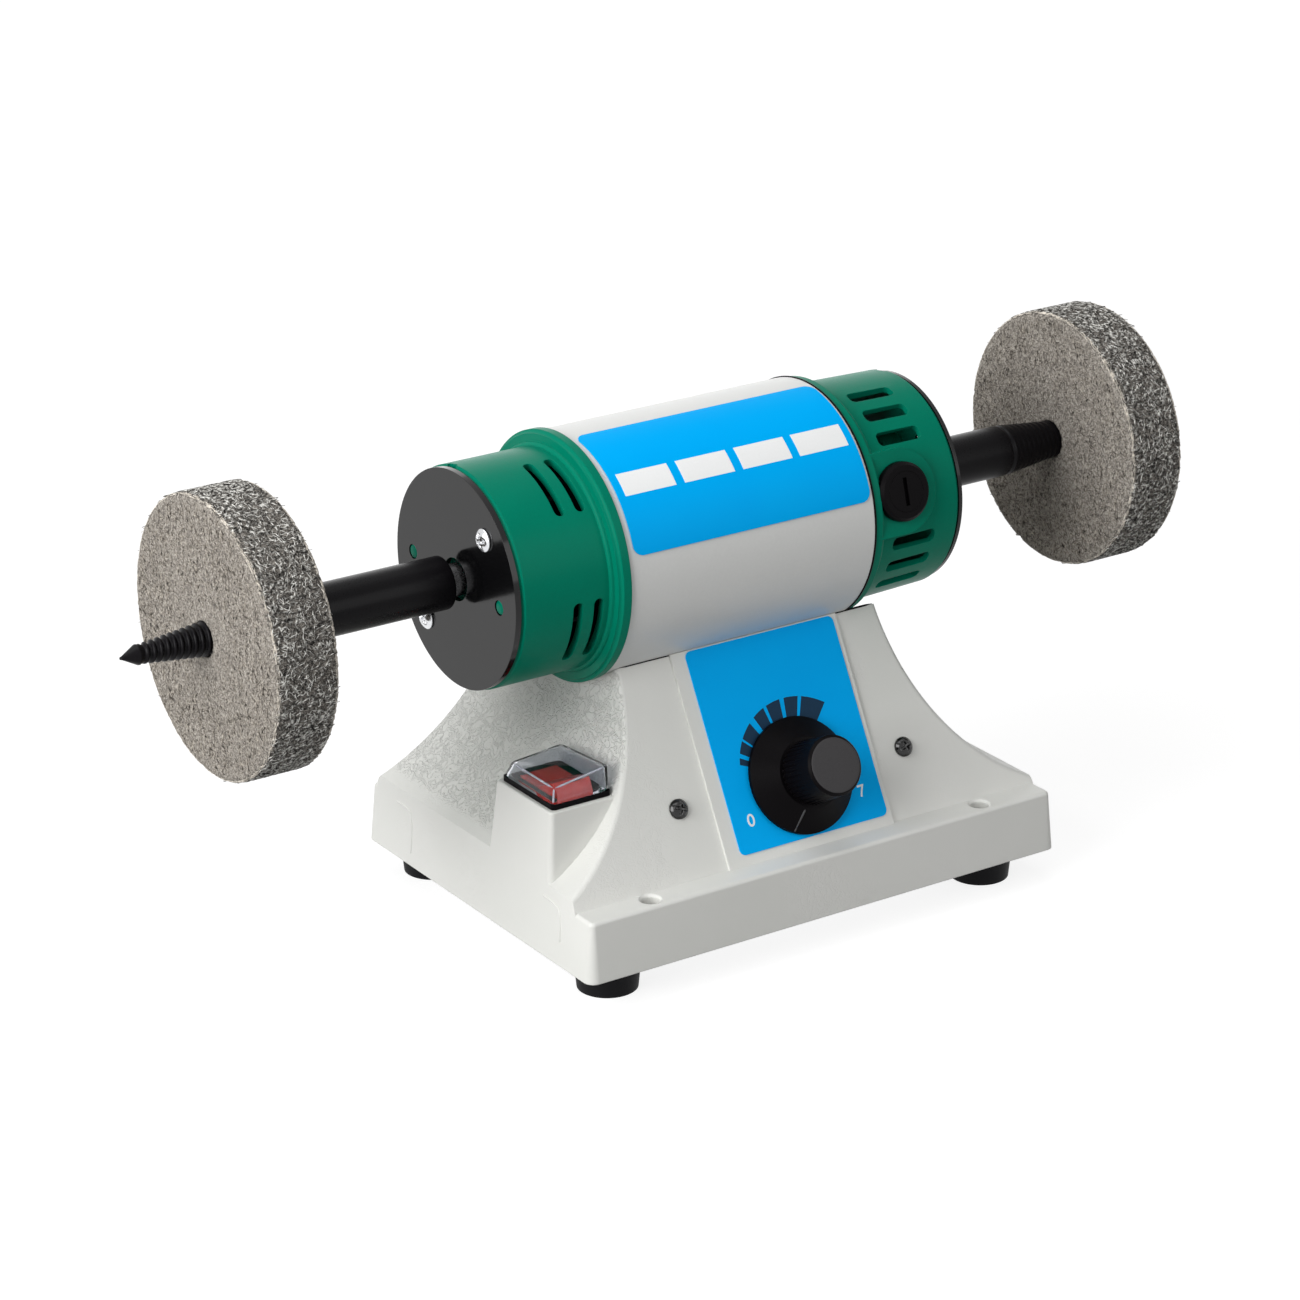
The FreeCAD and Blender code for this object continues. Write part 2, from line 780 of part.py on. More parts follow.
# Stand casting: the hollow, with bosses left standing for the foot screws
hollow = new_body("casting_hollow", middle)
low_room = box(slab_left + size.wall, cover_front, slab_right - size.wall, cover_rear)
add(hollow, [low_room], size.foot_height, slab_roof)
column(hollow, size.wall, slab_roof, hollow_top,
       face_line + size.wall / cosine(size.face_tilt), rear_line - size.wall / cosine(size.rear_tilt),
       size.wall)
pedestal_room = box(pedestal_left + size.pedestal_wall, pedestal_front + size.pedestal_wall,
                    -size.waist_width / 2, pedestal_back - size.pedestal_wall)
add(hollow, [pedestal_room], slab_roof, pedestal_top - size.pedestal_wall)
bosses = [disc(x, y, size.foot_boss) for x, y in feet.values()]
cut(hollow, bosses, size.foot_height + size.cover_thickness, slab_top + 2 * size.wall)
thread_holes = [disc(x, y, size.foot_screw + 2 * size.screw_gap) for x, y in feet.values()]
add(hollow, thread_holes, size.foot_height, size.foot_height + size.cover_thickness + size.foot_screw_grip)

casting = doc.addObject("Part::Cut", "stand_casting")
casting.Label = "stand_casting"
casting.Base = form
casting.Tool = hollow
keep(casting)
doc.recompute()

# Bottom cover, feet and foot screws
cover = new_body("bottom_cover", middle)
cover_plate = box(slab_left + size.wall + size.cover_gap, cover_front + size.cover_gap,
                  slab_right - size.wall - size.cover_gap, cover_rear - size.cover_gap)
add(cover, [cover_plate] + thread_holes, size.foot_height, size.foot_height + size.cover_thickness)
keep(cover)

foot_hole = size.foot_screw / 2 + size.screw_gap
foot_well = size.foot_screw_head / 2 + size.cover_gap
screw_top = size.foot_height + size.cover_thickness + size.foot_screw_grip - size.cover_gap
foot_screws = []
for place_name, (x, y) in feet.items():
    stand_at = {"x": middle + x, "y": y}
    foot_profile = [
        (foot_well, 0),
        (size.foot_bottom / 2, 0),
        (size.foot_top / 2, size.foot_height),
        (foot_hole, size.foot_height),
        (foot_hole, size.foot_recess),
        (foot_well, size.foot_recess),
    ]
    keep(turned(f"foot_{place_name}", foot_profile, upright=True, **stand_at))
    screw_profile = [
        (0, size.foot_recess - size.foot_screw_head_height),
        (size.foot_screw_head / 2, size.foot_recess - size.foot_screw_head_height),
        (size.foot_screw_head / 2, size.foot_recess),
        (size.foot_screw / 2, size.foot_recess),
        (size.foot_screw / 2, screw_top),
        (0, screw_top),
    ]
    foot_screws.append(turned(f"foot_screw_{place_name}", screw_profile, upright=True, **stand_at))
group("foot_screws", foot_screws)

# Rocker switch in the pedestal
pivot_z = bezel_top - size.rocker_pivot_drop
housing = new_body("switch_housing", middle + switch_x, switch_y)
well_length = 2 * (size.rocker_radius + size.rocker_gap)
well_width = size.rocker_width + 2 * size.rocker_gap
body_outline = box(-size.switch_body_width / 2, -size.switch_body_length / 2,
                   size.switch_body_width / 2, size.switch_body_length / 2)
bezel_outline = rounded_box(-size.bezel_width / 2, -size.bezel_length / 2,
                            size.bezel_width / 2, size.bezel_length / 2, size.bezel_corner)
add(housing, [bezel_outline], pedestal_top, bezel_top)
add(housing, [body_outline], pedestal_top - size.switch_body_height, pedestal_top)
well = box(-well_width / 2, -well_length / 2, well_width / 2, well_length / 2)
well_floor = pivot_z - size.rocker_radius - size.rocker_gap
cut(housing, [well], well_floor, bezel_top)
pin_reach = size.rocker_width / 2 + size.rocker_pin_length
cut(housing, [disc(0, pivot_z, size.rocker_pin + 2 * size.pin_gap)],
    -pin_reach - size.pin_gap, pin_reach + size.pin_gap, plane="YZ_Plane")
keep(housing)

rocker = new_body("power_rocker", middle + switch_x, switch_y, pivot_z, -size.rocker_half_throw)
rocker_bottom_half = root(size.rocker_radius * size.rocker_radius - size.rocker_depth * size.rocker_depth)
rocker_top_half = root(size.rocker_radius * size.rocker_radius - size.rocker_tip_rise * size.rocker_tip_rise)
rocker_dip = size.rocker_tip_rise - rocker_top_half * tangent(size.rocker_half_throw)
rocker_outline = [
    (rocker_bottom_half, -size.rocker_depth),
    (rocker_top_half, size.rocker_tip_rise, size.rocker_radius),
    (0, rocker_dip),
    (-rocker_top_half, size.rocker_tip_rise),
    (-rocker_bottom_half, -size.rocker_depth, size.rocker_radius),
]
add(rocker, [rocker_outline], -size.rocker_width / 2, size.rocker_width / 2, plane="YZ_Plane")
add(rocker, [disc(0, 0, size.rocker_pin)], -pin_reach, pin_reach, plane="YZ_Plane")
keep(rocker)

terminal_top = pedestal_top - size.switch_body_height
terminals = []
for across in (-1, 1):
    for along in (-1, 1):
        blade = new_body("switch_terminal", middle + switch_x + across * size.terminal_pitch / 2,
                         switch_y + along * size.terminal_pitch)
        blade_outline = box(-size.terminal_thickness / 2, -size.terminal_width / 2,
                            size.terminal_thickness / 2, size.terminal_width / 2)
        add(blade, [blade_outline], terminal_top - size.terminal_length, terminal_top)
        terminals.append(blade)
group("switch_terminals", terminals)

splash = new_body("splash_cover", middle + switch_x, switch_y)
skirt_x = size.bezel_width / 2 - size.splash_cover_inset
skirt_y = size.bezel_length / 2 - size.splash_cover_inset
lip_x = skirt_x + size.splash_cover_lip
lip_y = skirt_y + size.splash_cover_lip
room_x = skirt_x - size.splash_cover_wall
room_y = skirt_y - size.splash_cover_wall
add(splash, [rounded_box(-lip_x, -lip_y, lip_x, lip_y, size.bezel_corner)],
    bezel_top, bezel_top + size.splash_cover_wall)
add(splash, [rounded_box(-skirt_x, -skirt_y, skirt_x, skirt_y, size.bezel_corner)],
    bezel_top, bezel_top + size.splash_cover_height, draft=-size.splash_cover_draft)
cut(splash, [box(-room_x, -room_y, room_x, room_y)],
    bezel_top, bezel_top + size.splash_cover_height - size.splash_cover_wall, draft=-size.splash_cover_draft)
keep(splash)


def face_point(up):
    """Depth and height of a point on the control face, at a distance up the slope."""
    return face_line + up * sine(size.face_tilt), slab_top + up * cosine(size.face_tilt)


# Speed panel: label, knob and regulator
label_face = size.panel_raise + size.label_thickness
panel_label = new_body("panel_label", middle)
label_outline = rounded_box(size.label_offset - size.label_width / 2, size.label_bottom,
                            size.label_offset + size.label_width / 2, face_length - size.label_top_gap,
                            size.label_corner)
add(panel_label, [label_outline, panel_hole], size.panel_raise, label_face, **on_face)
keep(panel_label)

knob_y, knob_z = face_point(size.knob_up)
on_knob_axis = {"x": middle + size.label_offset, "y": knob_y, "z": knob_z, "roll": face_turn}
knob_base = label_face + size.knob_lift
knob_top = knob_base + size.knob_height
shaft_bore = size.speed_shaft / 2 + size.fit_gap
shaft_end = knob_base + size.knob_recess_depth + size.speed_shaft_grip
knob_profile = [
    (size.knob_recess / 2, knob_base),
    (size.knob_skirt / 2, knob_base),
    (size.knob_skirt / 2, knob_base + size.knob_skirt_rim),
    (size.knob_cone_top / 2, knob_base + size.knob_cone_height),
    (size.knob_grip / 2, knob_base + size.knob_cone_height),
    (size.knob_grip_top / 2, knob_top - size.knob_edge),
    (size.knob_grip_top / 2 - size.knob_edge, knob_top),
    (0, knob_top),
    (0, shaft_end + size.fit_gap),
    (shaft_bore, shaft_end + size.fit_gap),
    (shaft_bore, knob_base + size.knob_recess_depth),
    (size.knob_recess / 2, knob_base + size.knob_recess_depth),
]
knob = new_body("speed_knob", **on_knob_axis)
turn(knob, knob_profile, upright=True)
flute = cut(knob, [disc(size.knob_grip / 2, 0, size.knob_flute)],
            knob_base + size.knob_cone_height, knob_top - size.knob_edge)
repeat_round(knob, [flute], size.knob_flutes, "Z_Axis")
keep(knob)

regulator_back = -(size.wall + size.regulator_depth)
bushing_top = label_face + size.nut_thickness + size.bushing_thread / 2
keep(turned("speed_regulator", [
    (shaft_bore, regulator_back),
    (size.regulator_body / 2, regulator_back),
    (size.regulator_body / 2, -size.wall),
    (size.bushing / 2, -size.wall),
    (size.bushing / 2, bushing_top),
    (shaft_bore, bushing_top),
], upright=True, **on_knob_axis))
keep(turned("regulator_shaft", [
    (0, regulator_back),
    (size.speed_shaft / 2, regulator_back),
    (size.speed_shaft / 2, shaft_end),
    (0, shaft_end),
], upright=True, **on_knob_axis))
nut = new_body("regulator_nut", **on_knob_axis)
nut_step = FULL_TURN / size.nut_sides
nut_corner = size.nut_width / 2 / cosine(nut_step / 2)
nut_outline = [(nut_corner * cosine(n * nut_step), nut_corner * sine(n * nut_step))
               for n in range(SIZES["nut_sides"])]
nut_hole = disc(0, 0, size.bushing + 2 * size.fit_gap)
add(nut, [nut_outline, nut_hole], label_face, label_face + size.nut_thickness)
keep(nut)

# Control board behind the panel
bracket_back = -(size.wall + size.bracket_thickness)
board_face = bracket_back - size.spacer_length
board_back = board_face - size.board_thickness
bracket = new_body("board_bracket", middle)
bracket_plate = box(-size.bracket_width / 2, size.knob_up - size.bracket_height / 2,
                    size.bracket_width / 2, size.knob_up + size.bracket_height / 2)
bracket_cut = disc(size.label_offset, size.knob_up, size.bracket_cut)
add(bracket, [bracket_plate, bracket_cut] + panel_screw_holes, bracket_back, -size.wall, **on_face)
keep(bracket)

panel_screws = []
spacers = []
for side in (-1, 1):
    panel_screws.append(turned("panel_screw", [
        (0, bracket_back - size.panel_screw),
        (size.panel_screw / 2, bracket_back - size.panel_screw),
        (size.panel_screw / 2, 0),
        (size.panel_screw_head / 2, 0),
        (size.panel_screw_head / 2, size.panel_screw_head_height / 2),
        (size.panel_screw_top / 2, size.panel_screw_head_height),
        (0, size.panel_screw_head_height),
    ], middle + side * size.panel_screw_spacing / 2, knob_y, knob_z, face_turn, upright=True))
    for end in (-1, 1):
        spacer = new_body("board_spacer", middle)
        spacer_place = disc(side * (size.board_width / 2 - size.spacer_edge),
                            size.knob_up + end * (size.board_height / 2 - size.spacer_edge), size.spacer)
        add(spacer, [spacer_place], board_face, bracket_back, **on_face)
        spacers.append(spacer)
group("panel_screws", panel_screws)
group("board_spacers", spacers)

board = new_body("control_board", middle)
board_plate = box(-size.board_width / 2, size.knob_up - size.board_height / 2,
                  size.board_width / 2, size.knob_up + size.board_height / 2)
add(board, [board_plate], board_back, board_face, **on_face)
keep(board)
part_x = size.board_width / 2 - size.part_inset
capacitor = new_body("capacitor", middle)
add(capacitor, [disc(-part_x, size.knob_up, size.capacitor)],
    board_back - size.capacitor_height, board_back, **on_face)
keep(capacitor)
choke = new_body("filter_choke", middle)
add(choke, [disc(0, size.knob_up, size.choke), disc(0, size.knob_up, size.choke_hole)],
    board_back - size.choke_height, board_back, **on_face)
keep(choke)
heat_sink = new_body("heat_sink", middle)
sink_low = size.knob_up - size.heat_sink_height / 2
sink_left = part_x - size.heat_sink_width / 2
sink_floor = board_back - size.heat_sink_fin
sink_plate = box(sink_left, sink_low, sink_left + size.heat_sink_width, sink_low + size.heat_sink_height)
add(heat_sink, [sink_plate], sink_floor, board_back, **on_face)
fin_step = (size.heat_sink_width - size.heat_sink_fin) / (size.heat_sink_fins - 1)
fins = [box(sink_left + n * fin_step, sink_low, sink_left + n * fin_step + size.heat_sink_fin,
            sink_low + size.heat_sink_height) for n in range(SIZES["heat_sink_fins"])]
add(heat_sink, fins, board_back - size.heat_sink_depth, sink_floor, **on_face)
keep(heat_sink)

# Cord gland in the rear face
gland_y = rear_line - size.gland_up * sine(size.rear_tilt)
gland_z = slab_top + size.gland_up * cosine(size.rear_tilt)
keep(turned("cord_gland", [
    (size.gland_bore / 2, -size.wall - size.gland_lip_thickness),
    (size.gland_lip / 2, -size.wall - size.gland_lip_thickness),
    (size.gland_lip / 2, -size.wall - size.screw_gap),
    (size.gland_neck / 2, -size.wall - size.screw_gap),
    (size.gland_neck / 2, 0),
    (size.gland_flange / 2, 0),
    (size.gland_flange / 2, size.gland_flange_thickness / 2),
    (size.gland_neck / 2, size.gland_flange_thickness),
    (size.gland_bore / 2, size.gland_flange_thickness),
], middle + size.gland_offset, gland_y, gland_z, rear_turn, upright=True))

# Motor housing: tube, its screws and its label
on_axis = {"x": middle, "z": size.axis_height}
tube = turned("motor_housing", box(-size.tube_left, tube_bore, size.tube_right, tube_radius), **on_axis)
cut(tube, motor_screw_holes, -tube_radius, -tube_bore + size.tube_wall)
keep(tube)
motor_screws = []
for x in motor_screw_places:
    motor_screws.append(turned("motor_screw", [
        (0, hollow_top - size.motor_screw_head_height),
        (size.motor_screw_head / 2, hollow_top - size.motor_screw_head_height),
        (size.motor_screw_head / 2, hollow_top),
        (size.motor_screw / 2, hollow_top),
        (size.motor_screw / 2, size.axis_height - tube_bore + size.motor_screw_reach),
        (0, size.axis_height - tube_bore + size.motor_screw_reach),
    ], middle + x, upright=True))
group("motor_screws", motor_screws)

motor_label = new_body("motor_label", middle, z=size.axis_height,
                       roll=HALF_TURN - size.motor_label_low - size.motor_label_arc)
label_inner = tube_radius + size.motor_label_gap
label_outer = label_inner + size.motor_label_thickness
label_right = size.tube_right - size.motor_label_end_gap
turn(motor_label, box(-size.tube_left + size.motor_label_inset, label_inner, label_right, label_outer),
     angle=size.motor_label_arc)
round_edges(motor_label, size.motor_label_corner,
            lambda edge: edge.Length < 2 * SIZES["motor_label_thickness"])
keep(motor_label)


def cap_profile(end, sign, outer, rim, rim_width, rim_round, rim_face, taper):
    """Half section of an end cap: wall, end with bearing seat, and the spigot inside the tube."""
    inner = outer - size.cap_wall
    seat = size.bearing / 2 + size.fit_gap
    floor = end - sign * size.bearing_floor
    seat_mouth = floor - sign * size.bearing_width
    inside = end - sign * size.cap_end_wall
    spigot = tube_bore - size.spigot_gap
    rim_back = rim_face + sign * rim_width
    tip = outer - taper
    return [
        (end, size.plate_shaft_hole / 2),
        (end, tip - size.cap_edge_round),
        (end - sign * size.cap_edge_round, tip, -sign * size.cap_edge_round),
        (rim_back + sign * rim_round, outer),
        (rim_back, outer + rim_round, sign * rim_round),
        (rim_back, rim - rim_round),
        (rim_back - sign * rim_round, rim, -sign * rim_round),
        (rim_face, rim),
        (rim_face, spigot),
        (rim_face - sign * size.spigot_length, spigot),
        (rim_face - sign * size.spigot_length, spigot - size.cap_wall),
        (rim_back, inner),
        (inside, inner),
        (inside, seat + size.hub_wall),
        (seat_mouth, seat + size.hub_wall),
        (seat_mouth, seat),
        (floor, seat),
        (floor, size.plate_shaft_hole / 2),
    ]


def screw_circle(angle, diameter):
    """Two opposite round holes on the end plates' circle, at an angle up from the front."""
    reach = size.plate_circle / 2
    return [disc(-side * reach * cosine(angle), side * reach * sine(angle), diameter) for side in (-1, 1)]


# Left end cap with its cooling slots
left_cap = new_body("left_end_cap", roll=-size.left_slot_roll, **on_axis)
turn(left_cap, cap_profile(left_end, -1, size.left_cap / 2, size.left_bead / 2, size.left_bead_width,
                           size.rim_round, -size.tube_left, 0))
slot_middle = left_end + size.left_slot_from_end
slot_root = size.bearing / 2 + 2 * size.hub_wall
left_slots = []
for spread in (-size.left_slot_spread, size.left_slot_spread):
    pair = [rounded_box(slot_middle + n * size.left_slot_pitch - size.left_slot_width / 2,
                        -size.left_slot_length / 2,
                        slot_middle + n * size.left_slot_pitch + size.left_slot_width / 2,
                        size.left_slot_length / 2, size.left_slot_round) for n in (0, 1)]
    left_slots.append(cut(left_cap, pair, slot_root, size.left_cap / 2 + size.cap_wall,
                          plane="XZ_Plane", tilt=spread))
repeat_round(left_cap, left_slots, BOTH_SIDES)
left_notch = box(left_end, -size.cap_notch_width / 2,
                 left_end + size.cap_notch_depth, size.cap_notch_width / 2)
cut(left_cap, [left_notch],
    size.left_cap / 2 - size.cap_wall, size.left_cap / 2 + size.cap_wall, plane="XZ_Plane",
    tilt=size.left_slot_roll - size.cap_notch_angle)
cap_screw_hole = size.plate_screw + 2 * size.screw_gap
cut(left_cap, screw_circle(size.plate_screw_angle - size.left_slot_roll, cap_screw_hole),
    left_end, left_end + size.cap_end_wall, plane="YZ_Plane")
keep(left_cap)

# Right end cap with its cooling slots and brush pads
brush_x = size.tube_right + size.brush_from_tube
pad_face = size.right_cap / 2 + size.brush_pad_rise
collar_seat = pad_face - size.brush_seat
right_cap = new_body("right_end_cap", roll=-size.motor_roll, **on_axis)
turn(right_cap, cap_profile(right_end, 1, size.right_cap / 2, size.right_rim / 2, size.right_rim_width,
                            size.rim_round, size.tube_right, size.right_cap_taper))
brush_pad = add(right_cap, [[
    (size.tube_right + size.right_rim_width / 2, -size.brush_pad_radius),
    (brush_x, -size.brush_pad_radius),
    (brush_x + size.brush_pad_radius, 0, size.brush_pad_radius),
    (brush_x, size.brush_pad_radius, size.brush_pad_radius),
    (size.tube_right + size.right_rim_width / 2, size.brush_pad_radius),
]], size.right_cap / 2 - 2 * size.cap_wall, pad_face, plane="XZ_Plane")
brush_hole = cut(right_cap, [disc(brush_x, 0, size.brush_tube + 2 * size.brush_play)],
                 slot_root, pad_face, plane="XZ_Plane")
brush_seat = cut(right_cap, [disc(brush_x, 0, size.brush_collar + 2 * size.brush_play)],
                 collar_seat, size.right_rim / 2 + size.cap_wall, plane="XZ_Plane")
right_slots = []
slot_right = right_end - size.right_slot_from_end
for n in range(SIZES["right_slots"]):
    for side in (-1, 1):
        slot = rounded_box(slot_right - size.right_slot_length, -size.right_slot_width / 2,
                           slot_right, size.right_slot_width / 2, size.right_slot_round)
        right_slots.append(cut(right_cap, [slot], slot_root, size.right_cap / 2 + size.cap_wall,
                               plane="XZ_Plane",
                               tilt=side * (size.right_slot_start + n * size.right_slot_pitch)))
repeat_round(right_cap, [brush_pad, brush_hole, brush_seat] + right_slots, BOTH_SIDES)
right_notch = box(right_end - size.cap_notch_depth, -size.cap_notch_width / 2,
                  right_end, size.cap_notch_width / 2)
cut(right_cap, [right_notch],
    size.right_cap / 2 - size.cap_wall, size.right_cap / 2 + size.cap_wall, plane="XZ_Plane",
    tilt=size.motor_roll - size.cap_notch_angle)
cut(right_cap, screw_circle(size.plate_screw_angle - size.motor_roll, cap_screw_hole),
    right_end - size.cap_end_wall, right_end, plane="YZ_Plane")
keep(right_cap)

# End plates and their screws
plates = {
    "left": (left_plate_face, left_end, size.left_plate, -1),
    "right": (right_end, right_plate_face, size.right_plate, 1),
}
for side_name, (low, high, diameter, sign) in plates.items():
    plate = new_body(f"{side_name}_end_plate", **on_axis)
    plate_holes = screw_circle(size.plate_screw_angle, cap_screw_hole)
    plate_holes += screw_circle(size.plate_hole_angle, size.plate_hole)
    add(plate, [disc(0, 0, diameter), disc(0, 0, size.plate_shaft_hole)] + plate_holes, low, high,
        plane="YZ_Plane")
    keep(plate)
    outer_face = low if sign < 0 else high
    screws = []
    for opposite in (-1, 1):
        reach = opposite * size.plate_circle / 2
        screw_y = -reach * cosine(size.plate_screw_angle)
        screw_z = size.axis_height + reach * sine(size.plate_screw_angle)
        head = outer_face + sign * size.plate_screw_head_height
        screws.append(turned(f"{side_name}_plate_screw", [
            (head, 0),
            (head, size.plate_screw_top / 2),
            (outer_face + sign * size.plate_screw_head_height / 2, size.plate_screw_head / 2),
            (outer_face, size.plate_screw_head / 2),
            (outer_face, size.plate_screw / 2),
            (outer_face - sign * size.plate_screw_length, size.plate_screw / 2),
            (outer_face - sign * size.plate_screw_length, 0),
        ], middle, screw_y, screw_z))
    group(f"{side_name}_plate_screws", screws)

# Brush gear, one set at the front and one at the rear
commutator_radius = size.commutator / 2
brush_foot = commutator_radius + size.brush_gap
brush_head = brush_foot + size.brush_length
collar_top = pad_face + size.brush_collar_height
cap_bottom = collar_top - size.brush_cap_depth
cap_hole = size.brush_cap / 2 + size.brush_play
for side_name, half_turn in (("front", 0), ("rear", HALF_TURN)):
    brush_turn = QUARTER_TURN - size.motor_roll + half_turn
    on_brush = {"x": middle + brush_x, "z": size.axis_height, "roll": brush_turn}
    holder = new_body(f"brush_holder_{side_name}", **on_brush)
    turn(holder, [
        (0, commutator_radius + size.brush_tube_clear),
        (size.brush_tube / 2, commutator_radius + size.brush_tube_clear),
        (size.brush_tube / 2, collar_seat),
        (size.brush_collar / 2, collar_seat),
        (size.brush_collar / 2, collar_top - size.brush_collar_edge),
        (size.brush_collar / 2 - size.brush_collar_edge, collar_top),
        (0, collar_top),
    ], upright=True)
    half_channel = size.brush_channel / 2
    cut(holder, [box(-half_channel, -half_channel, half_channel, half_channel)],
        commutator_radius, collar_top)
    cut(holder, [disc(0, 0, 2 * cap_hole)], cap_bottom, collar_top)
    keep(holder)
    carbon = new_body(f"carbon_brush_{side_name}", **on_brush)
    half_side = size.brush_side / 2
    add(carbon, [box(-half_side, -half_side, half_side, half_side)], brush_foot, brush_head)
    keep(carbon)
    spring_outer = size.brush_spring / 2
    spring_inner = spring_outer - size.brush_spring_wall
    keep(turned(f"brush_spring_{side_name}", [
        (spring_inner, brush_head),
        (spring_outer, brush_head),
        (spring_outer, cap_bottom),
        (spring_inner, cap_bottom),
    ], upright=True, **on_brush))
    brush_cap = new_body(f"brush_cap_{side_name}", **on_brush)
    turn(brush_cap, box(0, cap_bottom, size.brush_cap / 2, collar_top), upright=True)
    cut(brush_cap, [box(-size.brush_cap_slot / 2, -size.brush_cap_slot_length / 2,
                        size.brush_cap_slot / 2, size.brush_cap_slot_length / 2)],
        collar_top - size.brush_cap_slot_depth, collar_top)
    keep(brush_cap)

# Stator core with four coil windows, and two field coils round its poles
stator_left = size.stator_offset - size.stator_length / 2
stator_right = size.stator_offset + size.stator_length / 2
rolled = {"roll": -size.motor_roll, **on_axis}
stator = new_body("stator_core", **rolled)
add(stator, [disc(0, 0, 2 * (tube_bore - size.stator_gap)), disc(0, 0, size.stator_bore)],
    stator_left, stator_right, plane="YZ_Plane")
window_side = size.pole_width / 2 + size.coil_side + 2 * size.coil_gap
windows = []
for up in (-1, 1):
    low, high = sorted((up * size.pole_width / 2, up * window_side), key=lambda item: item.value)
    windows.append(cut(stator, [box(size.coil_window_low, low, size.coil_window_high, high)],
                       stator_left, stator_right, plane="YZ_Plane"))
repeat_round(stator, windows, BOTH_SIDES)
keep(stator)
coils = []
coil_inner_z = size.pole_width / 2 + size.coil_gap
coil_outer_z = coil_inner_z + size.coil_side
coil_high = size.coil_window_high - size.coil_gap
coil_low = coil_high - size.coil_depth
for side in (-1, 1):
    coil = new_body("field_coil", **rolled)
    low, high = sorted((side * coil_low, side * coil_high), key=lambda item: item.value)
    outside = rounded_box(stator_left - size.coil_gap - size.coil_side, -coil_outer_z,
                          stator_right + size.coil_gap + size.coil_side, coil_outer_z, size.coil_side)
    inside = box(stator_left - size.coil_gap, -coil_inner_z, stator_right + size.coil_gap, coil_inner_z)
    add(coil, [outside, inside], low, high, plane="XZ_Plane")
    coils.append(coil)
group("field_coils", coils)

# Rotor: shaft, armature, commutator and fan
left_floor = left_end + size.bearing_floor
right_floor = right_end - size.bearing_floor
left_shoulder = left_floor + size.bearing_width
right_shoulder = right_floor - size.bearing_width
shaft_left = left_sleeve_start - size.left_shaft_grip
shaft_right = right_sleeve_start + size.right_shaft_grip
keep(turned("motor_shaft", [
    (shaft_left, 0),
    (shaft_left, size.shaft / 2),
    (left_shoulder, size.shaft / 2),
    (left_shoulder, size.shaft_middle / 2),
    (right_shoulder, size.shaft_middle / 2),
    (right_shoulder, size.shaft / 2),
    (shaft_right, size.shaft / 2),
    (shaft_right, 0),
], **on_axis))
seat_radius = size.shaft_middle / 2 + size.fit_gap
armature_radius = size.stator_bore / 2 - size.air_gap
armature = new_body("armature_core", **on_axis)
add(armature, [disc(0, 0, 2 * armature_radius), disc(0, 0, 2 * seat_radius)], stator_left, stator_right,
    plane="YZ_Plane")
slot_floor = armature_radius - size.armature_slot_depth
slot = cut(armature, [box(slot_floor, -size.armature_slot_width / 2, armature_radius + size.air_gap,
                          size.armature_slot_width / 2)], stator_left, stator_right, plane="YZ_Plane")
repeat_round(armature, [slot], size.armature_slots)
keep(armature)

windings = new_body("armature_windings", **on_axis)
winding_radius = armature_radius - size.winding_top
bar_half = size.armature_slot_width / 2 - size.winding_play
end_gap = size.winding_play
left_turns = stator_left - end_gap
right_turns = stator_right + end_gap
turn(windings, box(left_turns - size.winding_overhang, seat_radius, left_turns, winding_radius))
bar = add(windings, [box(slot_floor + size.winding_play, -bar_half, winding_radius, bar_half)],
          left_turns, right_turns, plane="YZ_Plane")
repeat_round(windings, [bar], size.armature_slots)
turn(windings, box(right_turns, seat_radius, right_turns + size.winding_overhang, winding_radius))
keep(windings)

commutator = new_body("commutator", **on_axis)
commutator_left = brush_x - size.commutator_length / 2
commutator_right = brush_x + size.commutator_length / 2
turn(commutator, [
    (commutator_left - size.commutator_riser_width, seat_radius),
    (commutator_left - size.commutator_riser_width, size.commutator_riser / 2),
    (commutator_left, size.commutator_riser / 2),
    (commutator_left, commutator_radius),
    (commutator_right, commutator_radius),
    (commutator_right, seat_radius),
])
groove = cut(commutator, [box(commutator_radius - size.commutator_groove_depth, -size.commutator_groove / 2,
                              size.commutator_riser / 2 + size.air_gap, size.commutator_groove / 2)],
             commutator_left - size.commutator_riser_width, commutator_right, plane="YZ_Plane")
repeat_round(commutator, [groove], size.commutator_bars)
keep(commutator)

fan = new_body("cooling_fan", **on_axis)
fan_left = left_shoulder + size.fan_gap
fan_right = fan_left + size.fan_width
turn(fan, [
    (fan_left, seat_radius),
    (fan_left, size.fan_hub / 2),
    (fan_right - size.fan_disc, size.fan_hub / 2),
    (fan_right - size.fan_disc, size.fan / 2),
    (fan_right, size.fan / 2),
    (fan_right, seat_radius),
])
blade = add(fan, [box(seat_radius + size.fan_disc, -size.fan_blade / 2, size.fan / 2 - size.fan_disc,
                      size.fan_blade / 2)], fan_left, fan_right - size.fan_disc / 2, plane="YZ_Plane")
repeat_round(fan, [blade], size.fan_blades)
keep(fan)

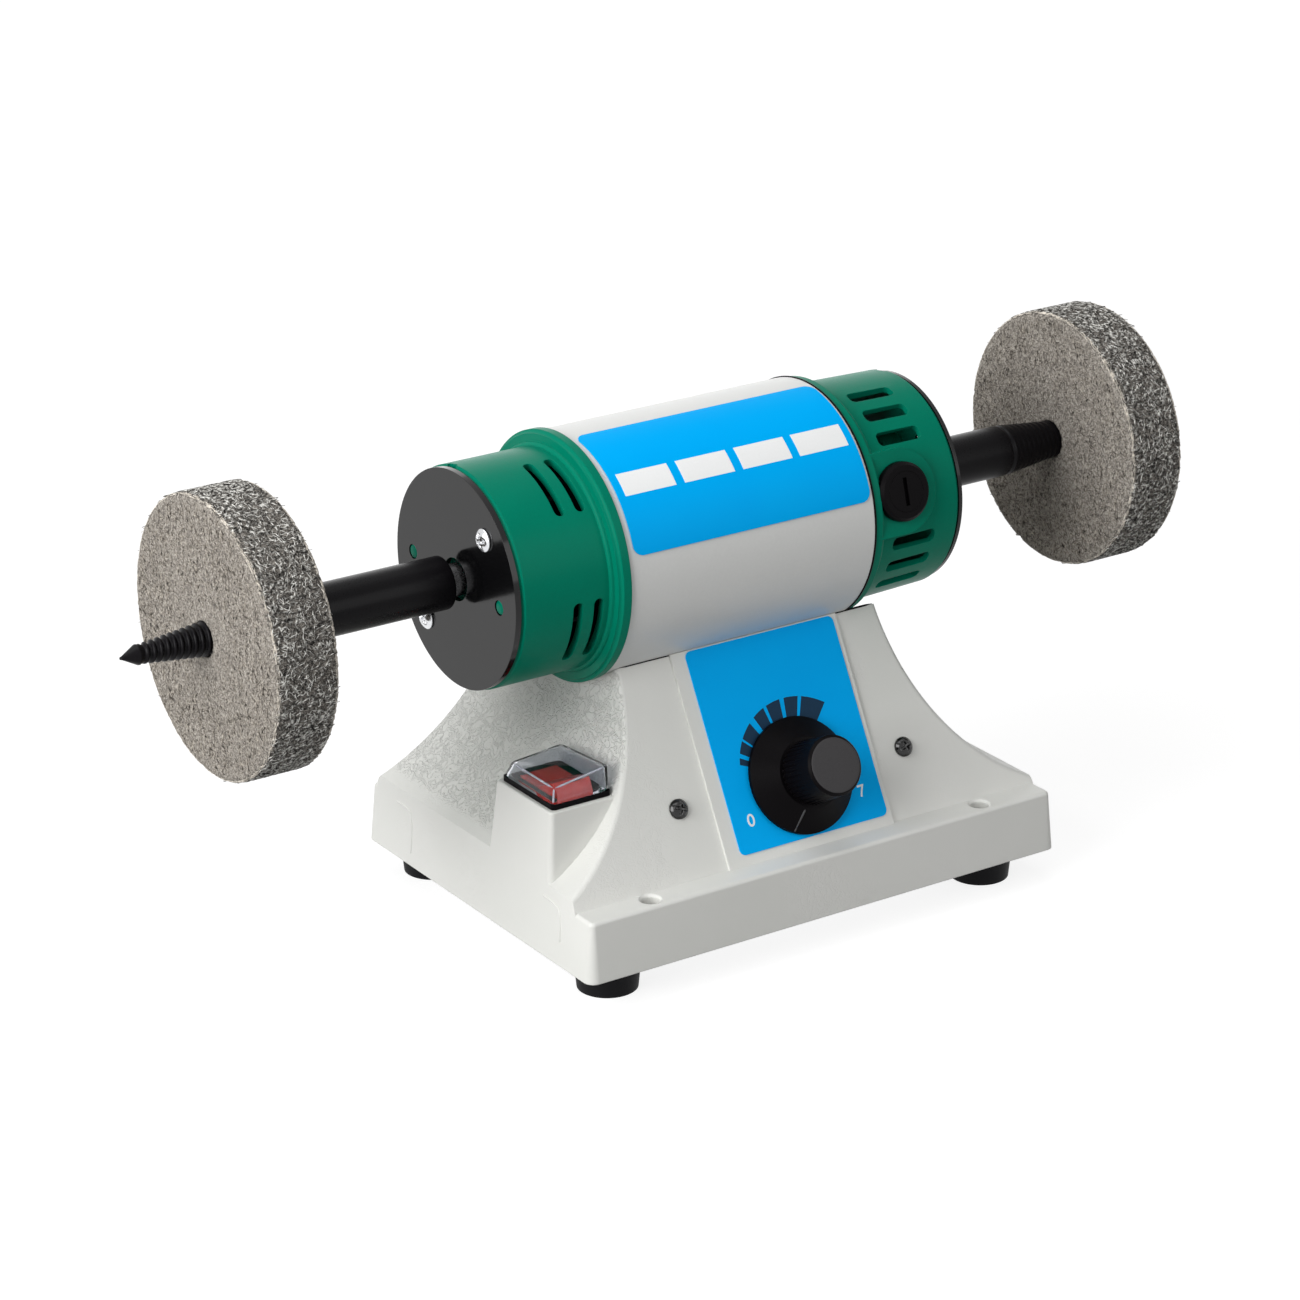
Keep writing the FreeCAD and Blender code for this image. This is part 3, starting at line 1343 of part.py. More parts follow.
# Ball bearings
ball_circle = (size.bearing_inner / 2 + size.bearing_outer / 2) / 2
groove_radius = size.bearing_ball / 2 + size.bearing_play
for side_name, bearing_left in (("left", left_floor), ("right", right_shoulder)):
    bearing_right = bearing_left + size.bearing_width
    bearing_middle = bearing_left + size.bearing_width / 2
    outer_drop = size.bearing_outer / 2 - ball_circle
    outer_half = root(groove_radius * groove_radius - outer_drop * outer_drop)
    keep(turned(f"{side_name}_bearing_outer", [
        (bearing_left, size.bearing / 2),
        (bearing_left, size.bearing_outer / 2),
        (bearing_middle - outer_half, size.bearing_outer / 2),
        (bearing_middle + outer_half, size.bearing_outer / 2, -groove_radius),
        (bearing_right, size.bearing_outer / 2),
        (bearing_right, size.bearing / 2),
    ], **on_axis))
    inner_drop = ball_circle - size.bearing_inner / 2
    inner_half = root(groove_radius * groove_radius - inner_drop * inner_drop)
    inner_bore = size.shaft / 2 + size.fit_gap
    keep(turned(f"{side_name}_bearing_inner", [
        (bearing_right, inner_bore),
        (bearing_right, size.bearing_inner / 2),
        (bearing_middle + inner_half, size.bearing_inner / 2),
        (bearing_middle - inner_half, size.bearing_inner / 2, -groove_radius),
        (bearing_left, size.bearing_inner / 2),
        (bearing_left, inner_bore),
    ], **on_axis))
    balls = []
    for n in range(SIZES["bearing_balls"]):
        ball = doc.addObject("Part::Sphere", f"{side_name}_ball")
        ball_angle = n * FULL_TURN / size.bearing_balls
        bind(ball, "Radius", size.bearing_ball / 2)
        place(ball, middle + bearing_middle, ball_circle * cosine(ball_angle),
              size.axis_height + ball_circle * sine(ball_angle))
        balls.append(ball)
    group(f"{side_name}_bearing_balls", balls)


# Spindles with their tapered screws, and the fibre wheels on them
def taper_radius(distance):
    """Radius of the screw's cone at a distance from the end of the sleeve."""
    fall = (size.spindle - size.taper_end) / size.taper_length
    return (size.spindle - fall * distance) / 2


spindles = {
    "left": (left_sleeve_start, left_taper_start, shaft_left, left_tip, -1, size.left_wheel_seat),
    "right": (right_sleeve_start, right_taper_start, shaft_right, right_tip, 1, size.right_wheel_seat),
}
for side_name, (sleeve, taper, shaft_stop, tip, sign, seat) in spindles.items():
    spindle_bore = size.shaft / 2 + size.fit_gap
    bore_end = shaft_stop + sign * size.fit_gap
    keep(turned(f"{side_name}_spindle", [
        (sleeve, spindle_bore),
        (sleeve, size.spindle / 2 - size.spindle_edge),
        (sleeve + sign * size.spindle_edge, size.spindle / 2),
        (taper, size.spindle / 2),
        (taper + sign * size.taper_length, size.taper_end / 2),
        (tip, size.tip_end / 2),
        (tip, 0),
        (bore_end, 0),
        (bore_end, spindle_bore),
    ], **on_axis))
    near = taper + sign * seat
    far = near + sign * size.wheel_width
    rim = size.wheel / 2
    bend = size.wheel_round
    keep(turned(f"{side_name}_wheel", [
        (near, taper_radius(seat) + size.wheel_bore_gap),
        (near, rim - bend),
        (near + sign * bend, rim, -sign * bend),
        (far - sign * bend, rim),
        (far, rim - bend, -sign * bend),
        (far, taper_radius(seat + size.wheel_width) + size.wheel_bore_gap),
    ], **on_axis))

doc.recompute()
for item in doc.Objects:
    if "Invalid" in item.State or "Error" in item.State:
        raise ValueError(f"{item.Label} failed: {item.State}")
for node in nodes:
    if node.Shape.isNull() or not node.Shape.isValid():
        raise ValueError(f"{node.Label} has no valid shape")

os.makedirs("parts", exist_ok=True)
for node in nodes:
    node.Shape.exportStep(f"parts/{node.Label}.step")
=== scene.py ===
import json
import math

import bpy
import numpy as np
from mathutils import Matrix, Vector, noise


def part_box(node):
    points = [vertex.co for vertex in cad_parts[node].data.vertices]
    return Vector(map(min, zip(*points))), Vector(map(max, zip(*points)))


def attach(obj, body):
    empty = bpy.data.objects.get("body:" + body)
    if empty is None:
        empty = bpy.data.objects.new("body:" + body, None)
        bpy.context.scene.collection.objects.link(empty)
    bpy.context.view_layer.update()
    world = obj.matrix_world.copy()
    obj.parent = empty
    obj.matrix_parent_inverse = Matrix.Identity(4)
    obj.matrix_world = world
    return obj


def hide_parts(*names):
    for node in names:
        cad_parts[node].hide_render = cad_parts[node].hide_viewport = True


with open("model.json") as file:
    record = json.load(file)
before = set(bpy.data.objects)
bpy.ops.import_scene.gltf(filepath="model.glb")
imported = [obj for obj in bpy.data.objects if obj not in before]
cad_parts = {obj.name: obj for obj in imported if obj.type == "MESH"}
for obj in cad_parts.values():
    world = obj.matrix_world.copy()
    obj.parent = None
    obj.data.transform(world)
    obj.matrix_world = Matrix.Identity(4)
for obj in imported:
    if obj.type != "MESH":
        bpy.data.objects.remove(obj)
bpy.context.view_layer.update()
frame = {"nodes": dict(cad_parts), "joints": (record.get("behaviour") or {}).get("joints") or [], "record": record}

MM = 0.001
FULL_TURN = 2 * math.pi

# Places read from the frame, in metres
tube_low, tube_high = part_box("motor_housing")
stand_low, stand_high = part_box("stand_casting")
AXIS_Z = (tube_low.z + tube_high.z) / 2
TUBE_RADIUS = (tube_high.z - tube_low.z) / 2
STAND_X = (stand_low.x + stand_high.x) / 2
JOINTS = {joint["name"]: joint for joint in frame["joints"]}
KNOB = Vector(JOINTS["speed_turn"]["pos_m"])
FACE_OUT = -Vector(JOINTS["speed_turn"]["axis"])
FACE_RIGHT = Vector((1, 0, 0))
FACE_UP = FACE_OUT.cross(FACE_RIGHT)


class Finish:
    """A procedural material, built node by node in the piece's own coordinates."""

    def __init__(self, name, **sockets):
        self.material = bpy.data.materials.new(name)
        self.material.use_nodes = True
        self.tree = self.material.node_tree
        self.shader = self.tree.nodes["Principled BSDF"]
        self.place = self.node("TexCoord").outputs["Object"]
        for socket, amount in sockets.items():
            self.shader.inputs[socket.replace("_", " ")].default_value = amount

    def node(self, kind, inputs=None, **settings):
        """Add a node whose inputs are numbers, colours or other nodes' outputs."""
        node = self.tree.nodes.new("ShaderNode" + kind)
        for key, value in settings.items():
            setattr(node, key, value)
        for key, value in (inputs or {}).items():
            self.feed(node.inputs[key], value)
        return node

    def feed(self, socket, value):
        if isinstance(value, bpy.types.NodeSocket):
            self.tree.links.new(value, socket)
        else:
            socket.default_value = value

    def set(self, socket, value):
        self.feed(self.shader.inputs[socket], value)

    def grain(self, size, detail=2.0, roughness=0.5, distortion=0.0, place=None):
        """Noise whose grains are about as wide as size, in metres."""
        return self.node("TexNoise", {
            "Vector": place or self.place, "Scale": 1 / size, "Detail": detail, "Roughness": roughness,
            "Distortion": distortion}).outputs["Fac"]

    def stretched(self, scale, turn=(0, 0, 0), place=None):
        """The piece's coordinates, turned and then scaled along each direction."""
        return self.node("Mapping", {"Vector": place or self.place, "Rotation": turn, "Scale": scale},
                         vector_type="POINT").outputs["Vector"]

    def ramp(self, amount, stops):
        """Colours at places from 0 to 1."""
        node = self.node("ValToRGB", {"Fac": amount})
        band = node.color_ramp
        while len(band.elements) < len(stops):
            band.elements.new(0.5)
        for element, (place, colour) in zip(band.elements, stops):
            element.position = place
            element.color = colour if len(colour) == 4 else (*colour, 1)
        return node.outputs["Color"]

    def span(self, amount, low, high, out_low=0.0, out_high=1.0):
        return self.node("MapRange", {"Value": amount, "From Min": low, "From Max": high, "To Min": out_low,
                                      "To Max": out_high}).outputs["Result"]

    def blend(self, share, first, second):
        node = self.node("Mix", data_type="RGBA")
        self.feed(node.inputs[0], share)
        for socket, value in ((node.inputs[6], first), (node.inputs[7], second)):
            if not isinstance(value, bpy.types.NodeSocket) and len(value) == 3:
                value = (*value, 1)
            self.feed(socket, value)
        return node.outputs[2]

    def sum(self, first, second, how="ADD"):
        node = self.node("Math", operation=how)
        self.feed(node.inputs[0], first)
        self.feed(node.inputs[1], second)
        return node.outputs[0]

    def bump(self, height, depth, strength=1.0, edge=0.0):
        """Surface relief from a height, over edges rounded by a radius in metres."""
        node = self.node("Bump", {"Height": height, "Distance": depth, "Strength": strength})
        if edge:
            rounded = self.node("Bevel", {"Radius": edge}, samples=4)
            self.tree.links.new(rounded.outputs["Normal"], node.inputs["Normal"])
        self.set("Normal", node.outputs["Normal"])


def speckled(name, colour, spread, grain, rough, rough_spread=0.06, depth=0.00002, edge=0.0003, **sockets):
    """Finish with a slightly uneven colour, gloss and surface."""
    finish = Finish(name, **sockets)
    fine = finish.grain(grain, 3.0)
    broad = finish.grain(grain * 25, 2.0)
    mottle = finish.sum(finish.sum(fine, 0.6, "MULTIPLY"), finish.sum(broad, 0.4, "MULTIPLY"))
    dark = tuple(c * (1 - spread) for c in colour)
    light = tuple(min(1.0, c * (1 + spread)) for c in colour)
    finish.set("Base Color", finish.ramp(mottle, [(0.3, dark), (0.7, light)]))
    finish.set("Roughness", finish.span(mottle, 0.3, 0.7, rough - rough_spread, rough + rough_spread))
    finish.bump(fine, depth, edge=edge)
    return finish.material


# Casting paint: where the smooth ends give way to the wrinkle, how much painted shade darkens its creases, and how
# deep they are
SMOOTH_END, WRINKLE_START = 6 * MM, 9 * MM
WRINKLE_FRONT = (-48 * MM, -40 * MM)
CREASE_PAINTED_SHADE = 0.065
CREASE_DEPTH, CREASE_STRENGTH = 0.0007, 0.8


def casting_paint():
    """Off-white powder coat: smooth on the flat faces, wrinkled like leather on the hollow cheeks, with painted
    shade darkening the creases.
    """
    finish = Finish("casting_paint", Specular_IOR_Level=0.25)
    turned = finish.node("SeparateXYZ", {"Vector": finish.node("NewGeometry").outputs["Normal"]})
    side = finish.sum(turned.outputs["X"], 0.0, "ABSOLUTE")
    spot = finish.node("SeparateXYZ", {"Vector": finish.place})
    past_left = finish.span(spot.outputs["X"], stand_low.x + SMOOTH_END, stand_low.x + WRINKLE_START)
    before_right = finish.span(spot.outputs["X"], stand_high.x - WRINKLE_START, stand_high.x - SMOOTH_END,
                               1.0, 0.0)
    inner = finish.sum(past_left, before_right, "MULTIPLY")
    behind = finish.span(spot.outputs["Y"], *WRINKLE_FRONT)
    cheek = finish.sum(finish.span(side, 0.25, 0.5), finish.sum(inner, behind, "MULTIPLY"), "MULTIPLY")
    patch = finish.span(finish.grain(0.03, 2.0), 0.5, 0.68, 0.02, 0.22)
    wrinkled = finish.sum(cheek, patch, "MAXIMUM")
    wave = finish.sum(finish.sum(finish.grain(0.0034, 2.0, 0.5, 1.4), 0.5, "SUBTRACT"), 0.0, "ABSOLUTE")
    crease = finish.sum(finish.span(wave, 0.0, 0.06, 1.0, 0.0), wrinkled, "MULTIPLY")
    relief = finish.sum(finish.sum(1.0, crease, "SUBTRACT"), 0.5, "MULTIPLY")
    orange = finish.sum(finish.grain(0.0035, 1.0), 0.06, "MULTIPLY")
    broad = finish.grain(0.06, 2.0)
    tint = finish.ramp(broad, [(0.35, (0.73, 0.735, 0.70)), (0.65, (0.77, 0.77, 0.74))])
    # Painted shade: the creases are darkened in the base colour, towards (0.50, 0.525, 0.495)
    crease_painted_shade = finish.sum(crease, CREASE_PAINTED_SHADE, "MULTIPLY")
    finish.set("Base Color", finish.blend(crease_painted_shade, tint, (0.50, 0.525, 0.495)))
    finish.set("Roughness", finish.span(finish.grain(0.004), 0.3, 0.7, 0.34, 0.46))
    finish.bump(finish.sum(relief, orange), CREASE_DEPTH, CREASE_STRENGTH, edge=0.0005)
    return finish.material


def wheel_fibre():
    """Bonded grey fibre: pale crossed strands over dark pores, coarser round the rim."""
    finish = Finish("wheel_fibre", Specular_IOR_Level=0.15)
    warp = finish.node("TexNoise", {"Vector": finish.place, "Scale": 420.0, "Detail": 2.0}).outputs["Color"]
    shifted = finish.node("VectorMath", {0: warp, 1: (0.5, 0.5, 0.5)}, operation="SUBTRACT").outputs["Vector"]
    small = finish.node("VectorMath", {0: shifted}, operation="SCALE")
    small.inputs["Scale"].default_value = 0.0022
    moved = finish.node("VectorMath", {0: finish.place, 1: small.outputs["Vector"]}, operation="ADD")
    place = moved.outputs["Vector"]
    strands = None
    for turn in ((0.3, 0.2, 0.4), (1.1, 0.5, 1.4), (2.0, 1.2, 0.9), (0.6, 2.1, 2.4)):
        along = finish.stretched((420, 1900, 1900), turn, place)
        strand = finish.node("TexNoise", {"Vector": along, "Scale": 1.0, "Detail": 1.0}).outputs["Fac"]
        strand = finish.span(strand, 0.47, 0.72)
        strands = strand if strands is None else finish.sum(strands, strand, "MAXIMUM")
    pore = finish.span(finish.grain(0.0011, 2.0, 0.6, 1.2), 0.36, 0.56)
    normal = finish.node("SeparateXYZ", {"Vector": finish.node("NewGeometry").outputs["Normal"]})
    flat = finish.span(finish.sum(normal.outputs["X"], 0.0, "ABSOLUTE"), 0.55, 0.9)
    fill = finish.sum(finish.sum(strands, pore, "MULTIPLY"), finish.sum(pore, 0.25, "MULTIPLY"))
    calm = finish.span(fill, 0.0, 1.0, 0.28, 0.86)
    height = finish.node("Mix", data_type="FLOAT")
    finish.feed(height.inputs[0], flat)
    finish.feed(height.inputs[2], fill)
    finish.feed(height.inputs[3], calm)
    tone = height.outputs[0]
    broad = finish.grain(0.02, 2.0)
    pale = finish.ramp(tone, [(0.0, (0.03, 0.028, 0.026)), (0.28, (0.13, 0.12, 0.108)),
                              (0.6, (0.36, 0.325, 0.285)), (1.0, (0.70, 0.655, 0.59))])
    mottled = finish.blend(finish.span(broad, 0.3, 0.7, 0.0, 0.22), pale, (0.26, 0.235, 0.205))
    finish.set("Base Color", finish.blend(flat, finish.blend(0.42, mottled, (0.03, 0.03, 0.03)), mottled))
    finish.set("Roughness", finish.span(tone, 0.0, 1.0, 0.98, 0.85))
    finish.bump(tone, 0.0007, 0.8)
    return finish.material


def label_film():
    """Printed blue film with a faint satin grain."""
    finish = Finish("blue_label", Specular_IOR_Level=0.02)
    broad = finish.grain(0.03, 2.0)
    fine = finish.grain(0.0004, 2.0)
    finish.set("Base Color", finish.ramp(broad, [(0.3, (0.0, 0.43, 0.99)), (0.7, (0.0, 0.45, 1.0))]))
    finish.set("Roughness", finish.span(fine, 0.3, 0.7, 0.30, 0.38))
    finish.bump(fine, 0.00001, edge=0.0002)
    return finish.material


def clear_plastic():
    """Clear moulded cover, faintly grey."""
    finish = Finish("clear_plastic", Transmission_Weight=1.0, IOR=1.25)
    wave = finish.grain(0.006, 1.0)
    finish.set("Base Color", finish.ramp(wave, [(0.3, (0.76, 0.78, 0.83)), (0.7, (0.82, 0.84, 0.88))]))
    finish.set("Roughness", finish.span(wave, 0.3, 0.7, 0.03, 0.07))
    finish.bump(wave, 0.00008, 0.5)
    return finish.material


def laminated(name, colour):
    """Stacked sheet: fine lines across the motor's axis."""
    finish = Finish(name, Metallic=1.0)
    across = finish.stretched((2000, 30, 30))
    line = finish.node("TexNoise", {"Vector": across, "Scale": 1.0, "Detail": 1.0}).outputs["Fac"]
    finish.set("Base Color", finish.ramp(line, [(0.35, tuple(c * 0.6 for c in colour)), (0.65, colour)]))
    finish.set("Roughness", finish.span(line, 0.3, 0.7, 0.35, 0.6))
    finish.bump(line, 0.00005)
    return finish.material


def wound(name, colour):
    """Enamelled wire: fine strands side by side."""
    finish = Finish(name, Metallic=1.0)
    strand = finish.grain(0.0009, 1.0, 0.4, 0.6, finish.stretched((1, 4, 4)))
    finish.set("Base Color", finish.ramp(strand, [(0.35, tuple(c * 0.35 for c in colour)), (0.6, colour)]))
    finish.set("Roughness", finish.span(strand, 0.3, 0.7, 0.3, 0.5))
    finish.bump(strand, 0.0003)
    return finish.material


MATERIALS = {
    "casting_paint": casting_paint(),
    "tube_paint": speckled("tube_paint", (0.70, 0.705, 0.69), 0.02, 0.0012, 0.36, edge=0.0002,
                           Specular_IOR_Level=0.25),
    "green_plastic": speckled("green_plastic", (0.0, 0.195, 0.120), 0.05, 0.0007, 0.34, depth=0.00003,
                              edge=0.0005, Specular_IOR_Level=0.045),
    "black_plate": speckled("black_plate", (0.004, 0.004, 0.0045), 0.15, 0.0009, 0.12, 0.03, 0.000006,
                            Specular_IOR_Level=0.29),
    "black_oxide": speckled("black_oxide", (0.004, 0.0035, 0.0045), 0.2, 0.0006, 0.30, 0.06,
                            Specular_IOR_Level=0.09),
    "wheel_fibre": wheel_fibre(),
    "black_plastic": speckled("black_plastic", (0.0025, 0.002, 0.0025), 0.12, 0.0005, 0.40, 0.05, 0.00003,
                              edge=0.0004, Specular_IOR_Level=0.045),
    "foot_rubber": speckled("foot_rubber", (0.006, 0.006, 0.007), 0.25, 0.001, 0.55, 0.08, 0.00006,
                            edge=0.001, Specular_IOR_Level=0.10),
    "blue_label": label_film(),
    "zinc_steel": speckled("zinc_steel", (0.72, 0.73, 0.75), 0.06, 0.0006, 0.2, 0.06, Metallic=1.0),
    "black_screw": speckled("black_screw", (0.004, 0.004, 0.004), 0.2, 0.0005, 0.14, 0.04,
                            Specular_IOR_Level=0.5),
    "red_plastic": speckled("red_plastic", (0.48, 0.025, 0.016), 0.06, 0.0008, 0.25, 0.05,
                            Specular_IOR_Level=0.5),
    "clear_plastic": clear_plastic(),
    "bearing_steel": speckled("bearing_steel", (0.72, 0.73, 0.74), 0.04, 0.0005, 0.12, 0.04, Metallic=1.0),
    "sheet_steel": speckled("sheet_steel", (0.55, 0.56, 0.57), 0.08, 0.0008, 0.38, 0.08, Metallic=1.0),
    "lamination": laminated("lamination", (0.36, 0.37, 0.39)),
    "copper": wound("copper", (0.72, 0.36, 0.17)),
    "carbon": speckled("carbon", (0.02, 0.02, 0.021), 0.3, 0.0003, 0.6, 0.1),
    "board_resin": speckled("board_resin", (0.03, 0.16, 0.06), 0.12, 0.0015, 0.4),
    "heat_sink_metal": speckled("heat_sink_metal", (0.70, 0.71, 0.72), 0.05, 0.0006, 0.35, 0.06,
                                Metallic=1.0),
    "part_plastic": speckled("part_plastic", (0.05, 0.09, 0.26), 0.08, 0.001, 0.3),
}

for subpart in frame["record"]["subparts"]:
    node = frame["nodes"][subpart["node"]]
    node.data.materials.clear()
    node.data.materials.append(MATERIALS[subpart["material_slot"]])
frame["nodes"]["motor_shaft"].data.materials[0] = speckled(
    "shaft_steel", (0.30, 0.30, 0.31), 0.08, 0.0006, 0.28, 0.06, Metallic=1.0)


def new_piece(name, points, faces, slot, body, material=None, smooth=True):
    """Mesh piece in the row frame that rides on a body."""
    mesh = bpy.data.meshes.new(name)
    mesh.from_pydata([tuple(p) for p in points], [], faces)
    mesh.polygons.foreach_set("use_smooth", [smooth] * len(mesh.polygons))
    mesh.materials.append(material or MATERIALS[slot])
    piece = bpy.data.objects.new(name, mesh)
    bpy.context.scene.collection.objects.link(piece)
    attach(piece, body)
    return piece


def round_grid(rows, columns, closed_start, closed_end):
    """Faces of a turned grid of points, with a single point at each closed end."""
    faces = []
    first = 1 if closed_start else 0
    if closed_start:
        faces += [(0, first + (j + 1) % columns, first + j) for j in range(columns)]
    for i in range(rows - 1):
        low = first + i * columns
        high = low + columns
        faces += [(low + j, low + (j + 1) % columns, high + (j + 1) % columns, high + j)
                  for j in range(columns)]
    if closed_end:
        low = first + (rows - 1) * columns
        faces += [(low + j, low + (j + 1) % columns, low + columns) for j in range(columns)]
    return faces


def turned_points(xs, radii):
    """Points round the motor's axis, from arrays of rows by columns."""
    angles = np.linspace(0, FULL_TURN, radii.shape[1], endpoint=False)
    x = np.broadcast_to(xs, radii.shape)
    y = radii * np.cos(angles)
    z = AXIS_Z + radii * np.sin(angles)
    return np.stack([x, y, z], axis=-1).reshape(-1, 3)


# Spindles with their tapered screws
SPINDLE_COLUMNS = 64
THREAD_PITCH = 2.5 * MM
THREAD_STEPS = 10
SHAFT_RADIUS = 6.05 * MM
SLEEVE_EDGE = 0.8 * MM
TAPER_LENGTH = 58 * MM
TAPER_END = 3.5 * MM
TIP_LENGTH = 7 * MM


def spindle(side, sign, thread_depth):
    """Black sleeve, ring groove, tapered screw with a real helical thread, and pointed tip."""
    low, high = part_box(f"{side}_spindle")
    start, tip = (low.x, high.x) if sign > 0 else (high.x, low.x)
    sleeve = (high.z - low.z) / 2
    taper = abs(tip - start) - TIP_LENGTH - TAPER_LENGTH
    rows = [(12 * MM, SHAFT_RADIUS, 0), (0, SHAFT_RADIUS, 0), (0, sleeve - SLEEVE_EDGE, 0)]
    rows += [(SLEEVE_EDGE * (1 - math.cos(a)), sleeve - SLEEVE_EDGE * (1 - math.sin(a)), 0)
             for a in np.linspace(0.2, math.pi / 2, 5)]
    rows += [(d, sleeve, 0) for d in np.linspace(4 * MM, taper - 1.6 * MM, 8)]
    rows += [(taper - 0.9 * MM, sleeve - 0.05 * MM, 0), (taper - 0.6 * MM, sleeve - 0.55 * MM, 0),
             (taper, sleeve - 0.6 * MM, 0), (taper + 0.4 * MM, sleeve - 0.25 * MM, 0)]
    count = int(TAPER_LENGTH / THREAD_PITCH * THREAD_STEPS)
    for d in np.linspace(1.2 * MM, TAPER_LENGTH - 0.6 * MM, count):
        radius = sleeve + (TAPER_END - sleeve) * d / TAPER_LENGTH
        rise = min(1.0, d / (4 * MM))
        fade = min(1.0, (TAPER_LENGTH - d) / (3 * MM))
        deep = 0.35 + 0.65 * min(1.0, d / (22 * MM))
        rows.append((taper + d, radius, thread_depth * rise * fade * deep))
    rows += [(taper + TAPER_LENGTH, TAPER_END, 0), (taper + TAPER_LENGTH + 0.3 * MM, TAPER_END + 0.2 * MM, 0),
             (taper + TAPER_LENGTH + 0.8 * MM, TAPER_END + 0.1 * MM, 0),
             (taper + TAPER_LENGTH + 6 * MM, 0.75 * MM, 0),
             (taper + TAPER_LENGTH + TIP_LENGTH - 0.15 * MM, 0.45 * MM, 0)]
    along = np.array([r[0] for r in rows])[:, None]
    radii = np.array([r[1] for r in rows])[:, None]
    depth = np.array([r[2] for r in rows])[:, None]
    turn = np.linspace(0, 1, SPINDLE_COLUMNS, endpoint=False)[None, :]
    phase = np.mod(along / THREAD_PITCH - turn, 1.0)
    valley = np.clip((np.abs(phase - 0.5) - 0.10) / 0.30, 0, 1)
    valley = 1 - valley * valley * (3 - 2 * valley)
    grid = radii - depth * valley
    points = turned_points(start + sign * along, grid)
    inner = (start + sign * 12 * MM, 0, AXIS_Z)
    outer = (tip, 0, AXIS_Z)
    points = np.vstack([inner, points, outer])
    faces = round_grid(len(rows), SPINDLE_COLUMNS, True, True)
    if sign < 0:
        faces = [face[::-1] for face in faces]
    piece = new_piece(f"{side}_screw_spindle", points, faces, "black_oxide", "rotor")
    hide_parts(f"{side}_spindle")


spindle("left", -1, 1.05 * MM)
spindle("right", 1, 0.2 * MM)

# Fibre wheels
WHEEL_COLUMNS = 384
WHEEL_STEP = 0.85 * MM
WHEEL_ROUND = 2.6 * MM
FELT_SWELL = {"left": 1.2 * MM, "right": 0.0}
FELT_SHIFT = {"left": -0.8 * MM, "right": 0.0}
# Unevenness of the felt: noise frequency and height in millimetres, coarse and fine
COARSE_NOISE, COARSE_LIFT = 260, 0.10
FINE_NOISE, FINE_LIFT = 900, 0.24
WORN_EDGE = 3 * MM
FELT_SINK = 0.25 * MM


def wheel_place(side):
    """Two ends and rim of a wheel, with the felt swollen past its solid."""
    low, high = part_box(f"{side}_wheel")
    shift = FELT_SHIFT[side]
    return low.x + shift, high.x + shift, (high.z - low.z) / 2 + FELT_SWELL[side]


def wheel_profile(near, far, bore_near, bore_far, rim):
    """Half section of a wheel from the near bore edge round to the far one, in steps of about one fibre."""
    sign = math.copysign(1, far - near)
    path = []
    for radius in np.arange(bore_near, rim - WHEEL_ROUND, WHEEL_STEP):
        path.append((near, radius, -sign, 0))
    for a in np.linspace(0, math.pi / 2, 6):
        path.append((near + sign * WHEEL_ROUND * (1 - math.cos(a)), rim - WHEEL_ROUND * (1 - math.sin(a)),
                     -sign * math.cos(a), math.sin(a)))
    width = abs(far - near) - 2 * WHEEL_ROUND
    for d in np.arange(WHEEL_STEP, width - WHEEL_STEP / 2, WHEEL_STEP):
        path.append((near + sign * (WHEEL_ROUND + d), rim, 0, 1))
    for a in np.linspace(math.pi / 2, 0, 6):
        path.append((far - sign * WHEEL_ROUND * (1 - math.cos(a)), rim - WHEEL_ROUND * (1 - math.sin(a)),
                     sign * math.cos(a), math.sin(a)))
    for radius in np.arange(rim - WHEEL_ROUND - WHEEL_STEP, bore_far, -WHEEL_STEP):
        path.append((far, radius, sign, 0))
    path.append((far, bore_far, sign, 0))
    return np.array(path)


def wheel(side, sign, bore_near, bore_far):
    """Felted wheel with an uneven, fuzzy surface and a worn edge."""
    low, high, rim = wheel_place(side)
    near, far = (low, high) if sign > 0 else (high, low)
    path = wheel_profile(near, far, bore_near, bore_far, rim)
    rows = len(path)
    x = np.repeat(path[:, 0:1], WHEEL_COLUMNS, axis=1)
    radius = np.repeat(path[:, 1:2], WHEEL_COLUMNS, axis=1)
    flat = turned_points(x, radius)
    lift = np.empty(len(flat))
    for number, point in enumerate(flat):
        spot = Vector(point)
        coarse = noise.noise(spot * COARSE_NOISE)
        fine = noise.noise(spot * FINE_NOISE)
        lift[number] = COARSE_LIFT * coarse + FINE_LIFT * fine
    lift = lift.reshape(rows, WHEEL_COLUMNS) * MM
    edge = np.clip(1 - np.abs(path[:, 1] - rim) / WORN_EDGE, 0, 1)[:, None]
    lift = lift * (0.8 + 0.9 * edge) - FELT_SINK
    x = x + path[:, 2:3] * lift
    radius = radius + path[:, 3:4] * lift
    points = turned_points(x, radius)
    faces = round_grid(rows, WHEEL_COLUMNS, False, False)
    last = (rows - 1) * WHEEL_COLUMNS
    faces += [(last + j, last + (j + 1) % WHEEL_COLUMNS, (j + 1) % WHEEL_COLUMNS, j)
              for j in range(WHEEL_COLUMNS)]
    if sign < 0:
        faces = [face[::-1] for face in faces]
    piece = new_piece(f"{side}_fibre_wheel", points, faces, "wheel_fibre", "rotor")
    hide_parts(f"{side}_wheel")


wheel("left", -1, 9.15 * MM, 6.45 * MM)
wheel("right", 1, 7.25 * MM, 4.55 * MM)


